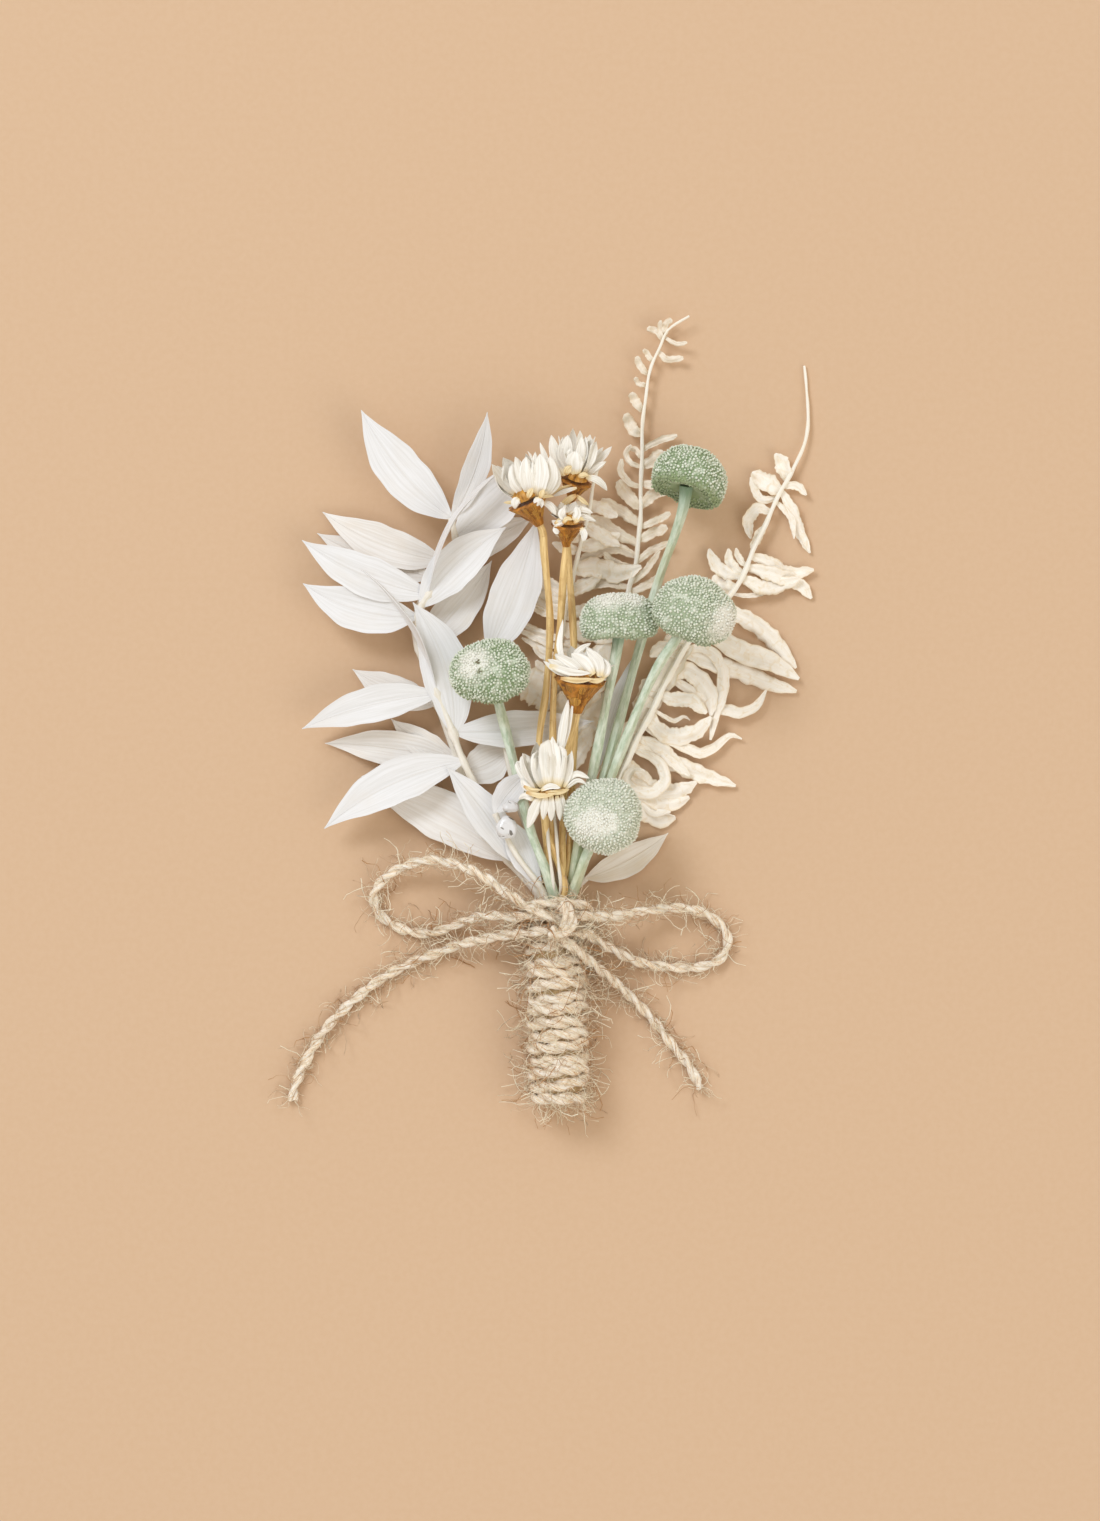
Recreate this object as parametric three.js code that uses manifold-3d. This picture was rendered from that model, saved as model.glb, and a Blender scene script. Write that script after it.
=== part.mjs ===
// Boutonniere of bleached ruscus, bleached fern, sage button flowers and small white everlasting
// daisies, bound with jute twine, lying on its back on a table.
//
// Units are millimetres. +Y runs from the cut stem ends to the tips, +X is to the right seen from
// the front, and +Z is the front. The table is z = 0.
//
// Depths, from the table up: fern fronds and the back ruscus spray, then the front ruscus spray,
// then the flower stems, and the flower heads on top.

import * as THREE from 'three';
import { mergeVertices } from 'three/addons/utils/BufferGeometryUtils.js';
import Module from 'manifold-3d';

const wasm = await Module();
wasm.setup();

// ---------------------------------------------------------------- driving dimensions

const BLADE = 0.6; // thickness of every leaf, leaflet and bract
const GAP = 0.3; // clearance between pieces that touch
const SLIVER = 0.16; // facets that differ less than this are joined

const HANDLE = {
  bottom: [0.1, -71],
  top: [-0.9, -35],
  axisHeight: 4.9,
  ridge: 5.6, // radius over the twine
  groove: 5.0, // radius between two turns
  bore: 4.0,
  pitch: 2.25, // from one turn of twine to the next
};

const STEM = 0.55; // radius of a flower stem
const SLOT = { across: 1.5, down: 1.3 }; // spacing of the stems inside the wrap
const CORD = 2.2; // diameter of the twine

const BUTTON = { radius: 7.0, dome: 5.6, under: 2.0, floret: 0.42 };

// ---------------------------------------------------------------- finishes

const finish = (color, roughness) => new THREE.MeshStandardMaterial({ color, roughness, metalness: 0 });

const BLEACHED_LEAF = { color: 0xf2f2f0, roughness: 0.6 };
const SHADED_LEAF = { color: 0xe2dcd4, roughness: 0.65 };
const BLEACHED_FERN = { color: 0xede4d0, roughness: 0.7 };
const SAGE_HEAD = { color: 0xb9c9ae, roughness: 0.9 };
const SAGE_STEM = { color: 0xa9c0a0, roughness: 0.7 };
const WHITE_BRACT = { color: 0xf0eee4, roughness: 0.45 };
const AMBER_CUP = { color: 0xb0701e, roughness: 0.5 };
const JUTE = { color: 0xc9b28a, roughness: 0.85 };
const CLEAR_GLUE = { color: 0xe9e9ea, roughness: 0.12 };

// ---------------------------------------------------------------- helpers

/** A seeded random number maker, so that every build is the same. */
function seeded(seed) {
  let state = seed;
  return () => {
    state = (state * 1664525 + 1013904223) % 4294967296;
    return state / 4294967296;
  };
}

const vec = (point) => new THREE.Vector3(...point);
const route = (points) => new THREE.CatmullRomCurve3(points.map(vec), false, 'centripetal');
const mix = (a, b, t) => a + (b - a) * t;

/** Twice three times the signed volume tells which way the faces of a closed mesh point. */
function signedVolume(position, index) {
  const [a, b, c] = [new THREE.Vector3(), new THREE.Vector3(), new THREE.Vector3()];
  let total = 0;
  for (let i = 0; i < index.length; i += 3) {
    a.fromBufferAttribute(position, index[i]);
    b.fromBufferAttribute(position, index[i + 1]);
    c.fromBufferAttribute(position, index[i + 2]);
    total += a.dot(b.cross(c));
  }
  return total;
}

/** A closed geometry as a solid, with its faces pointing out. */
function solidOf(geometry) {
  const bare = geometry.clone();
  bare.deleteAttribute('normal');
  bare.deleteAttribute('uv');
  const merged = mergeVertices(bare, 1e-4);
  const index = Array.from(merged.index.array);
  if (signedVolume(merged.attributes.position, index) < 0) index.reverse();
  const mesh = new wasm.Mesh({
    numProp: 3,
    vertProperties: new Float32Array(merged.attributes.position.array),
    triVerts: new Uint32Array(index),
  });
  return new wasm.Manifold(mesh);
}

/** A solid as a geometry with flat facets. */
function geometryOf(solid) {
  const mesh = solid.getMesh();
  const geometry = new THREE.BufferGeometry();
  geometry.setAttribute('position', new THREE.BufferAttribute(new Float32Array(mesh.vertProperties), 3));
  geometry.setIndex(new THREE.BufferAttribute(new Uint32Array(mesh.triVerts), 1));
  geometry.computeVertexNormals();
  return geometry;
}

const largest = (solid) => solid.decompose().reduce((best, part) => (part.volume() > best.volume() ? part : best));

/** Solids grown together as one body: loose scraps are dropped and needless facets joined. */
function grow(solids) {
  const whole = wasm.Manifold.union(solids);
  return largest(largest(whole).simplify(SLIVER));
}

function meshNamed(name, geometry, { color, roughness }) {
  const mesh = new THREE.Mesh(geometry, finish(color, roughness));
  mesh.name = name;
  return mesh;
}

/** A regular outline of the given radius, drawn anticlockwise. */
function ringShape(radius, sides) {
  const shape = new THREE.Shape();
  for (let i = 0; i < sides; i += 1) {
    const angle = (i / sides) * 2 * Math.PI;
    const [x, y] = [radius * Math.cos(angle), radius * Math.sin(angle)];
    if (i === 0) shape.moveTo(x, y);
    else shape.lineTo(x, y);
  }
  shape.closePath();
  return shape;
}

/** A round stem or strand along a smooth curve through the points. */
function tube(points, radius, sides = 5, steps = Math.round(route(points).getLength() / 5.5)) {
  const extrudePath = route(points);
  return new THREE.ExtrudeGeometry(ringShape(radius, sides), { steps, bevelEnabled: false, extrudePath });
}

/** A closed blade from rows of { at, up }: both faces are split into triangles alike. */
function blade(rows, thickness = BLADE) {
  const columns = rows[0].length;
  const positions = [];
  for (const face of [0.5, -0.5]) {
    for (const { at, up } of rows.flat()) {
      positions.push(...at.clone().addScaledVector(up, face * thickness).toArray());
    }
  }
  const top = (i, j) => i * columns + j;
  const under = (i, j) => rows.length * columns + top(i, j);
  const index = [];
  const quad = (a, b, c, d) => index.push(a, b, c, a, c, d);
  for (let i = 0; i + 1 < rows.length; i += 1) {
    for (let j = 0; j + 1 < columns; j += 1) {
      quad(top(i, j), top(i, j + 1), top(i + 1, j + 1), top(i + 1, j));
      index.push(under(i, j), under(i + 1, j + 1), under(i, j + 1));
      index.push(under(i, j), under(i + 1, j), under(i + 1, j + 1));
    }
    quad(under(i, 0), top(i, 0), top(i + 1, 0), under(i + 1, 0));
    quad(top(i, columns - 1), under(i, columns - 1), under(i + 1, columns - 1), top(i + 1, columns - 1));
  }
  const last = rows.length - 1;
  for (let j = 0; j + 1 < columns; j += 1) {
    quad(under(0, j), under(0, j + 1), top(0, j + 1), top(0, j));
    quad(top(last, j), top(last, j + 1), under(last, j + 1), under(last, j));
  }
  const geometry = new THREE.BufferGeometry();
  geometry.setAttribute('position', new THREE.Float32BufferAttribute(positions, 3));
  geometry.setIndex(index);
  return geometry;
}

/** The point on a stem nearest to a place seen from the front. */
function nearestOn(curve, [x, y]) {
  let best = curve.getPointAt(0);
  for (let i = 1; i <= 200; i += 1) {
    const point = curve.getPointAt(i / 200);
    if (Math.hypot(point.x - x, point.y - y) < Math.hypot(best.x - x, best.y - y)) best = point;
  }
  return best;
}

/** Where a stem lies inside the wrap: slot [column, row] counted from the axis, at a height y. */
function inWrap([column, row], y) {
  const t = (y - HANDLE.bottom[1]) / (HANDLE.top[1] - HANDLE.bottom[1]);
  const x = mix(HANDLE.bottom[0], HANDLE.top[0], t) + column * SLOT.across;
  return [x, y, HANDLE.axisHeight + row * SLOT.down];
}

/** A stem's whole route: straight up through its slot in the wrap, then out along the points. */
function fromWrap(slot, points) {
  const stretch = [HANDLE.bottom[1] + 0.3, -54, HANDLE.top[1] - 1, HANDLE.top[1] + 0.7];
  return [...stretch.map((y) => inWrap(slot, y)), ...points];
}

// ---------------------------------------------------------------- ruscus

/**
 * A pointed leaf from its root on the stem to its tip. bow bends it sideways, arch lifts its
 * middle, fold raises its edges, roll turns its face from the front, and curl turns it on to the tip.
 */
function ruscusLeaf(curve, leaf) {
  const { from, tip, width, bow = 0, arch = 0.4, fold = 0.16, roll = 0, curl = 0, peak = 0.46 } = leaf;
  const root = nearestOn(curve, from);
  const end = vec(tip);
  const chord = end.clone().sub(root);
  const aside = new THREE.Vector3(chord.y, -chord.x, 0).normalize();
  const front = new THREE.Vector3(0, 0, 1);
  const place = (t) => {
    const swell = 4 * t * (1 - t);
    const point = root.clone().lerp(end, t);
    return point.addScaledVector(aside, bow * swell).addScaledVector(front, arch * swell);
  };
  const power = Math.log(0.5) / Math.log(peak);
  const rows = [];
  const stations = 7;
  for (let i = 0; i < stations; i += 1) {
    const t = i / (stations - 1);
    const at = place(t);
    const along = place(Math.min(1, t + 0.02)).sub(place(Math.max(0, t - 0.02))).normalize();
    const turn = THREE.MathUtils.degToRad(roll + curl * t);
    const side = along.clone().cross(front).normalize().applyAxisAngle(along, turn);
    const up = side.clone().cross(along).normalize();
    const half = Math.max(0.3, (width / 2) * Math.sin(Math.PI * t ** power) ** 0.85);
    const edge = (sign) => at.clone().addScaledVector(side, sign * half).addScaledVector(up, fold * half);
    rows.push([{ at: edge(-1), up }, { at, up }, { at: edge(1), up }]);
  }
  return blade(rows);
}

function ruscusSpray(slot, points, leaves, radius = STEM) {
  const path = fromWrap(slot, points);
  const curve = route(path);
  const stem = solidOf(tube(path, radius));
  return geometryOf(grow([stem, ...leaves.map((leaf) => solidOf(ruscusLeaf(curve, leaf)))]));
}

const FRONT_SPRAY_STEM = [
  [-5.2, -31.0, 6.2], [-8.4, -26.6, 6.2], [-12.0, -20.5, 6.2], [-15.2, -13.6, 6.2], [-17.6, -8.5, 6.2],
  [-19.7, -2.7, 6.2], [-22.6, 4.6, 6.2], [-24.8, 11.5, 6.2], [-25.4, 17.5, 6.2], [-22.0, 23.0, 6.4],
  [-18.8, 28.6, 6.6], [-19.4, 34.6, 6.8],
];

const FRONT_SPRAY_LEAVES = [
  { from: [-19.4, 34.6], tip: [-35.7, 54.0, 7.5], width: 8.3, bow: -1.6, arch: 0.8 },
  { from: [-19.4, 34.6], tip: [-13.0, 53.6, 8.0], width: 4.9, bow: 1.2, arch: 0.6, roll: 20 },
  { from: [-18.9, 31.0], tip: [-5.0, 45.6, 6.4], width: 8.6, bow: 0.8, arch: -0.6 },
  { from: [-25.4, 22.4], tip: [-46.4, 30.6, 6.0], width: 7.4, bow: -1.4, arch: 0.8 },
  { from: [-25.0, 18.4], tip: [-9.6, 32.9, 7.6], width: 7.8, bow: -1.2, arch: 0.8 },
  { from: [-25.4, 16.8], tip: [-46.2, 22.8, 5.8], width: 7.8, bow: -1.8, arch: 0.6 },
  { from: [-19.2, -4.6], tip: [-26.4, 19.4, 7.4], width: 9.0, bow: 2.2, arch: 0.1, fold: 0.04 },
  { from: [-18.6, -3.6], tip: [6.2, -2.0, 6.0], width: 6.6, bow: 0.3, arch: -0.1 },
  { from: [-22.0, 2.6], tip: [-46.4, -3.4, 5.6], width: 6.6, bow: 1.2, arch: 0.8 },
  { from: [-17.8, -9.4], tip: [-42.4, -21.4, 5.0], width: 8.0, bow: 2.0, arch: 1.2, curl: 18 },
  { from: [-9.2, -28.8], tip: [-20.4, -10.2, 7.4], width: 6.4, bow: 0.6, arch: 0.6, roll: 12 },
];

const FRONT_SPRAY_EDGE_LEAVES = [
  {
    from: [-25.4, 22.4], tip: [-10.2, 43.2, 10.4], width: 4.0, bow: 3.2, arch: 2.8, roll: -78, curl: -4,
  },
  {
    from: [-23.4, 3.0], tip: [-35.6, 25.2, 10.2], width: 3.6, bow: 2.6, arch: 1.6, roll: -74, curl: -8,
  },
];

const BACK_SPRAY_STEM = [
  [-4.6, -32.4, 3.3], [-10.4, -25.6, 2.6], [-14.6, -18.0, 2.6], [-17.8, -10.6, 2.6],
  [-21.2, -1.4, 2.6], [-24.4, 7.6, 2.6], [-26.2, 15.0, 2.6], [-24.2, 22.0, 2.6], [-20.4, 27.4, 2.6],
];

const BACK_SPRAY_LEAVES = [
  { from: [-20.6, 27.0], tip: [-42.8, 35.8, 1.8], width: 7.0, bow: -1.4, arch: 0.8 },
  { from: [-23.0, 24.0], tip: [-43.8, 32.0, 0.35], width: 6.4, bow: -0.8, arch: 0.4 },
  { from: [-20.4, 27.4], tip: [-4.6, 35.0, 3.0], width: 5.8, bow: 0.2, arch: 0.4 },
  { from: [-25.4, 11.0], tip: [-12.2, 27.0, 3.2], width: 7.2, bow: 0.8, arch: 0.4 },
  { from: [-22.4, 1.2], tip: [-37.4, 7.4, 1.0], width: 5.8, bow: -0.8, arch: 0.6 },
  { from: [-17.8, -9.8], tip: [-30.4, -1.6, 2.0], width: 5.2, bow: -0.6, arch: 0.4 },
  { from: [-18.2, -9.4], tip: [-42.4, -6.0, 0.8], width: 6.4, bow: 0.8, arch: 0.8 },
  { from: [-18.0, -10.4], tip: [-35.8, -12.0, 0.9], width: 4.4, bow: 0.4, arch: 0.2 },
  { from: [-9.6, -27.2], tip: [-35.6, -13.6, 1.2], width: 9.0, bow: 1.8, arch: 0.9 },
  { from: [-14.4, -18.4], tip: [-26.4, -17.6, 1.6], width: 4.0, bow: 0.2, arch: 0.2 },
  { from: [-17.6, -11.2], tip: [-8.4, -6.6, 2.8], width: 7.4, bow: 0.6, arch: 0.2 },
];

// a broad leaf that stands between the back and the front spray at the right of the stem
const MIDDLE_SPRIG_STEM = [[-3.2, -30.0, 4.4], [-7.6, -16.0, 4.8], [-10.6, -2.0, 4.9], [-12.6, 10.6, 4.9]];

const MIDDLE_SPRIG_LEAVES = [
  { from: [-12.6, 10.6], tip: [-4.2, 34.2, 5.4], width: 8.8, bow: 0.8, arch: 0.2, peak: 0.42 },
];

const LOW_SPRIG_STEM = [[-3.1, -32.4, 7.6], [-7.8, -26.0, 8.6], [-11.6, -18.6, 9.6]];

const LOW_SPRIG_LEAVES = [
  { from: [-11.6, -18.6], tip: [-5.2, -11.2, 9.8], width: 4.8, bow: -0.6, arch: 0.2 },
  { from: [-3.0, -33.0], tip: [-8.8, -19.6, 7.8], width: 5.4, bow: -0.5, arch: -0.4, peak: 0.6, fold: 0.05 },
];

const NARROW_SPRIG_STEM = [[-0.6, -31.6, 3.6], [2.6, -20.0, 4.4], [7.2, -9.9, 5.2]];

const NARROW_SPRIG_LEAVES = [
  { from: [7.2, -9.9], tip: [14.6, 11.4, 5.2], width: 3.6, bow: -0.4, arch: 0, fold: 0.08 },
];

const RIGHT_LEAF_STEM = [[2.6, -32.6, 1.7], [4.8, -30.4, 1.2]];

const RIGHT_LEAVES = [
  { from: [4.8, -30.4], tip: [19.7, -22.2, 1.0], width: 5.4, bow: 0.9, arch: 0.1 },
];

// ---------------------------------------------------------------- fern

/**
 * A leaflet: a thin waved ribbon along a curve that is given by a few points seen from the front.
 * It leaves the midrib at the point nearest to its first place and waves in depth on the way.
 */
function leaflet(curve, { path, width, height, wave = 0.5, twist = 0, phase = 0 }) {
  const root = nearestOn(curve, path[0]);
  const rest = path.slice(1).map(([x, y], i) => {
    const t = (i + 1) / (path.length - 1);
    return [x, y, mix(root.z, height, t)];
  });
  const line = route([root.toArray(), ...rest]);
  const stations = path.length > 3 ? 7 : width < 1.9 ? 4 : 5;
  const front = new THREE.Vector3(0, 0, 1);
  const rows = [];
  for (let i = 0; i < stations; i += 1) {
    const t = i / (stations - 1);
    const at = line.getPointAt(t);
    at.z += wave * Math.sin(Math.PI * 2.2 * t + phase) * Math.sin(Math.PI * t);
    const along = line.getTangentAt(t);
    const turn = twist * Math.sin(Math.PI * 1.6 * t + phase) * Math.sin(Math.PI * Math.min(1, t + 0.1));
    const side = along.clone().cross(front).normalize().applyAxisAngle(along, turn);
    const up = side.clone().cross(along).normalize();
    const half = Math.max(0.3, (width / 2) * Math.sin(Math.PI * (0.12 + 0.82 * t ** 0.8)) ** 0.6);
    rows.push([
      { at: at.clone().addScaledVector(side, -half), up },
      { at: at.clone().addScaledVector(side, half), up },
    ]);
  }
  return blade(rows);
}

function frond(slot, points, leaflets, radius) {
  const path = fromWrap(slot, points);
  const curve = route(path);
  const midrib = solidOf(tube(path, radius));
  return geometryOf(grow([midrib, ...leaflets.map((item) => solidOf(leaflet(curve, item)))]));
}

/** Leaflets in two rows along a midrib, from its tip down, by a rule with a seeded draw. */
function leafletRows({ midrib, first, last, count, length, lift, curlUp, seed, width, heights }) {
  const draw = seeded(seed);
  const curve = route(midrib);
  const items = [];
  for (let i = 0; i < count; i += 1) {
    const t = i / (count - 1);
    const at = curve.getPointAt(mix(first, last, t));
    const along = curve.getTangentAt(mix(first, last, t));
    for (const side of [-1, 1]) {
      const reach = mix(length[0], length[1], t) * (0.85 + 0.3 * draw());
      const out = new THREE.Vector2(along.y * side, -along.x * side);
      const up = new THREE.Vector2(along.x, along.y);
      const at2 = [at.x, at.y];
      const step = (outward, upward) => [
        at2[0] + reach * (out.x * outward + up.x * upward),
        at2[1] + reach * (out.y * outward + up.y * upward),
      ];
      const rise = lift + 0.2 * (draw() - 0.5);
      items.push({
        path: [step(0, 0), step(0.55, rise * 0.4 - curlUp * 0.12), step(1, rise + curlUp * 0.3)],
        width: mix(width[0], width[1], t) * (0.85 + 0.3 * draw()),
        height: (side < 0 ? heights[0] : heights[1]) + 0.8 * (draw() - 0.5),
        wave: 0.4,
        twist: 0.35 * (draw() - 0.5),
        phase: 6.28 * draw(),
      });
    }
  }
  return items;
}

const LEFT_FROND_RIB = [
  [2.0, -29.0, 2.6], [5.2, -13.0, 2.6], [8.6, 2.0, 2.6], [11.4, 15.0, 2.8], [12.7, 22.3, 2.8],
  [13.9, 27.5, 2.8], [14.8, 41.6, 2.6], [15.2, 54.5, 2.4], [16.5, 61.6, 2.4], [18.1, 65.5, 2.6],
  [19.6, 68.6, 2.8], [23.4, 71.2, 3.0],
];

const MIDDLE_FROND_RIB = [
  [-1.8, -28.0, 2.6], [-1.4, -14.0, 3.0], [-1.0, 0.0, 3.4], [-0.4, 10.0, 3.8], [1.0, 17.0, 4.0],
  [2.1, 22.0, 4.2], [3.4, 28.8, 4.4], [5.1, 34.4, 4.6], [5.9, 39.6, 4.6], [6.8, 44.0, 4.4],
];

const RIGHT_FROND_RIB = [
  [3.8, -29.0, 3.7], [9.1, -16.2, 3.4], [11.4, -11.0, 3.2], [17.2, 1.1, 3.2], [22.4, 10.8, 3.2],
  [31.9, 22.3, 3.2], [35.9, 30.8, 2.8], [39.7, 39.1, 2.2], [42.2, 43.6, 1.8], [44.4, 48.1, 1.4],
  [44.9, 54.5, 0.9], [44.2, 62.3, 0.5],
];

const RIGHT_FROND_LEAFLETS = [
  { path: [[42.6, 44.6], [43.4, 41.4], [45.2, 39.2]], width: 1.8, height: 1.6 },
  { path: [[41.2, 41.0], [43.4, 34.4], [46.2, 28.4]], width: 2.6, height: 0.8 },
  { path: [[35.6, 30.0], [41.2, 25.6], [46.4, 25.4]], width: 3.2, height: 1.0 },
  { path: [[33.4, 24.8], [40.6, 21.8], [46.2, 19.8]], width: 2.6, height: 1.4 },
  { path: [[28.4, 18.0], [36.4, 15.8], [42.9, 7.4]], width: 2.8, height: 1.0 },
  { path: [[26.0, 15.0], [35.6, 10.2], [43.6, 5.2]], width: 2.8, height: 2.2 },
  { path: [[23.8, 12.4], [32.6, 6.0], [43.0, 3.2]], width: 3.2, height: 0.9 },
  { path: [[19.6, 5.6], [31.6, -1.2], [36.6, 0.2], [37.6, 3.8]], width: 2.2, height: 1.2 },
  { path: [[16.8, 0.4], [25.2, -7.2], [29.8, -4.6], [33.0, -5.6]], width: 2.2, height: 1.0 },
  { path: [[14.6, -4.4], [23.6, -10.6], [32.2, -13.6]], width: 2.8, height: 1.1 },
  { path: [[12.0, -9.8], [18.2, -15.2], [24.4, -13.6]], width: 2.5, height: 1.2 },
  { path: [[10.2, -13.6], [16.4, -17.8], [20.4, -16.2]], width: 2.8, height: 1.8 },
  { path: [[9.2, -16.0], [14.6, -19.0], [20.2, -21.0]], width: 2.2, height: 3.6 },
  { path: [[21.2, 8.6], [26.0, 10.8], [29.6, 6.6], [27.4, 1.0], [27.5, -5.2]], width: 1.8, height: 5.0 },
  { path: [[18.8, 4.4], [23.6, 6.6], [26.4, 3.4], [27.2, -0.6]], width: 1.9, height: 5.2 },
  { path: [[17.4, 1.6], [22.6, 2.2], [25.6, -1.6], [20.0, -5.2]], width: 2.4, height: 5.0 },
  { path: [[12.8, -8.0], [16.6, -9.2], [16.2, -13.4], [12.8, -13.0]], width: 1.9, height: 5.0 },
  { path: [[42.6, 44.6], [40.8, 46.0], [38.8, 46.6]], width: 2.5, height: 2.0 },
  { path: [[40.8, 41.2], [37.2, 42.8], [34.6, 41.4]], width: 3.4, height: 1.6 },
  { path: [[39.0, 37.2], [35.4, 36.6], [33.8, 32.4]], width: 3.4, height: 1.4 },
  { path: [[35.6, 30.0], [31.4, 29.4], [26.8, 28.6]], width: 2.9, height: 1.2 },
  { path: [[32.6, 23.6], [29.4, 26.6], [27.4, 24.2]], width: 2.6, height: 2.4 },
  { path: [[17.2, 1.2], [14.6, 1.6], [13.0, 3.6]], width: 2.0, height: 2.0 },
  { path: [[14.8, -4.0], [12.6, -2.8], [11.6, -0.6]], width: 2.0, height: 1.2 },
];

// ---------------------------------------------------------------- button flowers

/** A domed head of packed florets: the relief is raised from its surface by a formula. */
function buttonHead(radius, dome, squash) {
  const rings = 6;
  const around = 22;
  const profile = [new THREE.Vector2(0, -BUTTON.under * 0.55)];
  profile.push(new THREE.Vector2(radius * 0.45, -BUTTON.under));
  for (let i = 0; i < rings; i += 1) {
    const angle = mix(-0.5, Math.PI / 2, i / rings);
    profile.push(new THREE.Vector2(radius * Math.cos(angle), dome * Math.sin(angle)));
  }
  profile.push(new THREE.Vector2(0, dome));
  const head = new THREE.LatheGeometry(profile, around);
  const position = head.attributes.position;
  for (let i = 0; i < position.count; i += 1) {
    const ring = i % profile.length;
    const step = Math.floor(i / profile.length) % around;
    const inner = ring > 1 && ring < profile.length - 1;
    const raised = inner && (ring + step) % 2 === 0 ? 1 + BUTTON.floret / radius : 1;
    const lobe = 1 + 0.035 * Math.sin((step / around) * 2 * Math.PI * 3 + ring * 0.4);
    position.setXYZ(
      i,
      position.getX(i) * raised * lobe,
      position.getY(i) * raised,
      position.getZ(i) * raised * lobe * squash,
    );
  }
  head.rotateX(Math.PI / 2);
  return geometryOf(solidOf(head));
}

const BUTTONS = [
  {
    head: [23.1, 41.8, 11.4], axis: [0.22, 0.9, -0.36], radius: 7.1, squash: 0.86, slot: [0.5, -1],
    stem: [[1.4, -31.4, 4.3], [5.0, -21.0, 6.2], [8.2, -11.0, 6.9], [14.6, 12.1, 6.6], [18.1, 24.3, 6.6],
      [20.4, 30.6, 8.0], [22.2, 36.4, 11.0], [22.72, 40.2, 11.95]],
  },
  {
    head: [10.7, 15.6, 12.6], axis: [-0.02, 0.99, 0.12], radius: 6.9, squash: 0.74, slot: [1, 0],
    stem: [[1.9, -31.6, 5.5], [3.6, -23.0, 7.0], [6.0, -11.0, 8.5], [8.9, 3.8, 10.6], [10.2, 10.6, 12.2],
      [10.7, 14.0, 12.4]],
  },
  {
    head: [23.6, 17.2, 17.0], axis: [0.42, 0.72, 0.55], radius: 7.4, squash: 0.84, slot: [2, 0],
    stem: [[2.75, -32.6, 5.25], [5.8, -23.0, 6.9], [9.7, -11.0, 8.4], [17.2, 7.0, 12.0],
      [20.8, 12.6, 14.4], [22.9, 16.05, 16.1]],
  },
  {
    head: [-12.4, 6.6, 13.6], axis: [-0.2, 0.62, 0.75], radius: 7.1, squash: 0.92, slot: [0, 2],
    stem: [[-1.0, -33.6, 8.1], [-2.6, -28.6, 9.0], [-5.3, -21.4, 9.0], [-8.5, -8.5, 8.6], [-11.0, 1.4, 9.6],
      [-11.6, 4.0, 10.6], [-12.1, 5.6, 12.4]],
  },
  {
    head: [7.9, -19.0, 14.4], axis: [0.06, 0.12, 0.99], radius: 6.8, squash: 0.96, slot: [1.5, 1],
    stem: [[2.7, -31.4, 7.2], [4.6, -26.6, 8.6], [6.8, -21.8, 9.9],
      [7.8, -19.3, 12.8]],
  },
];

// ---------------------------------------------------------------- white daisies

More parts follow.
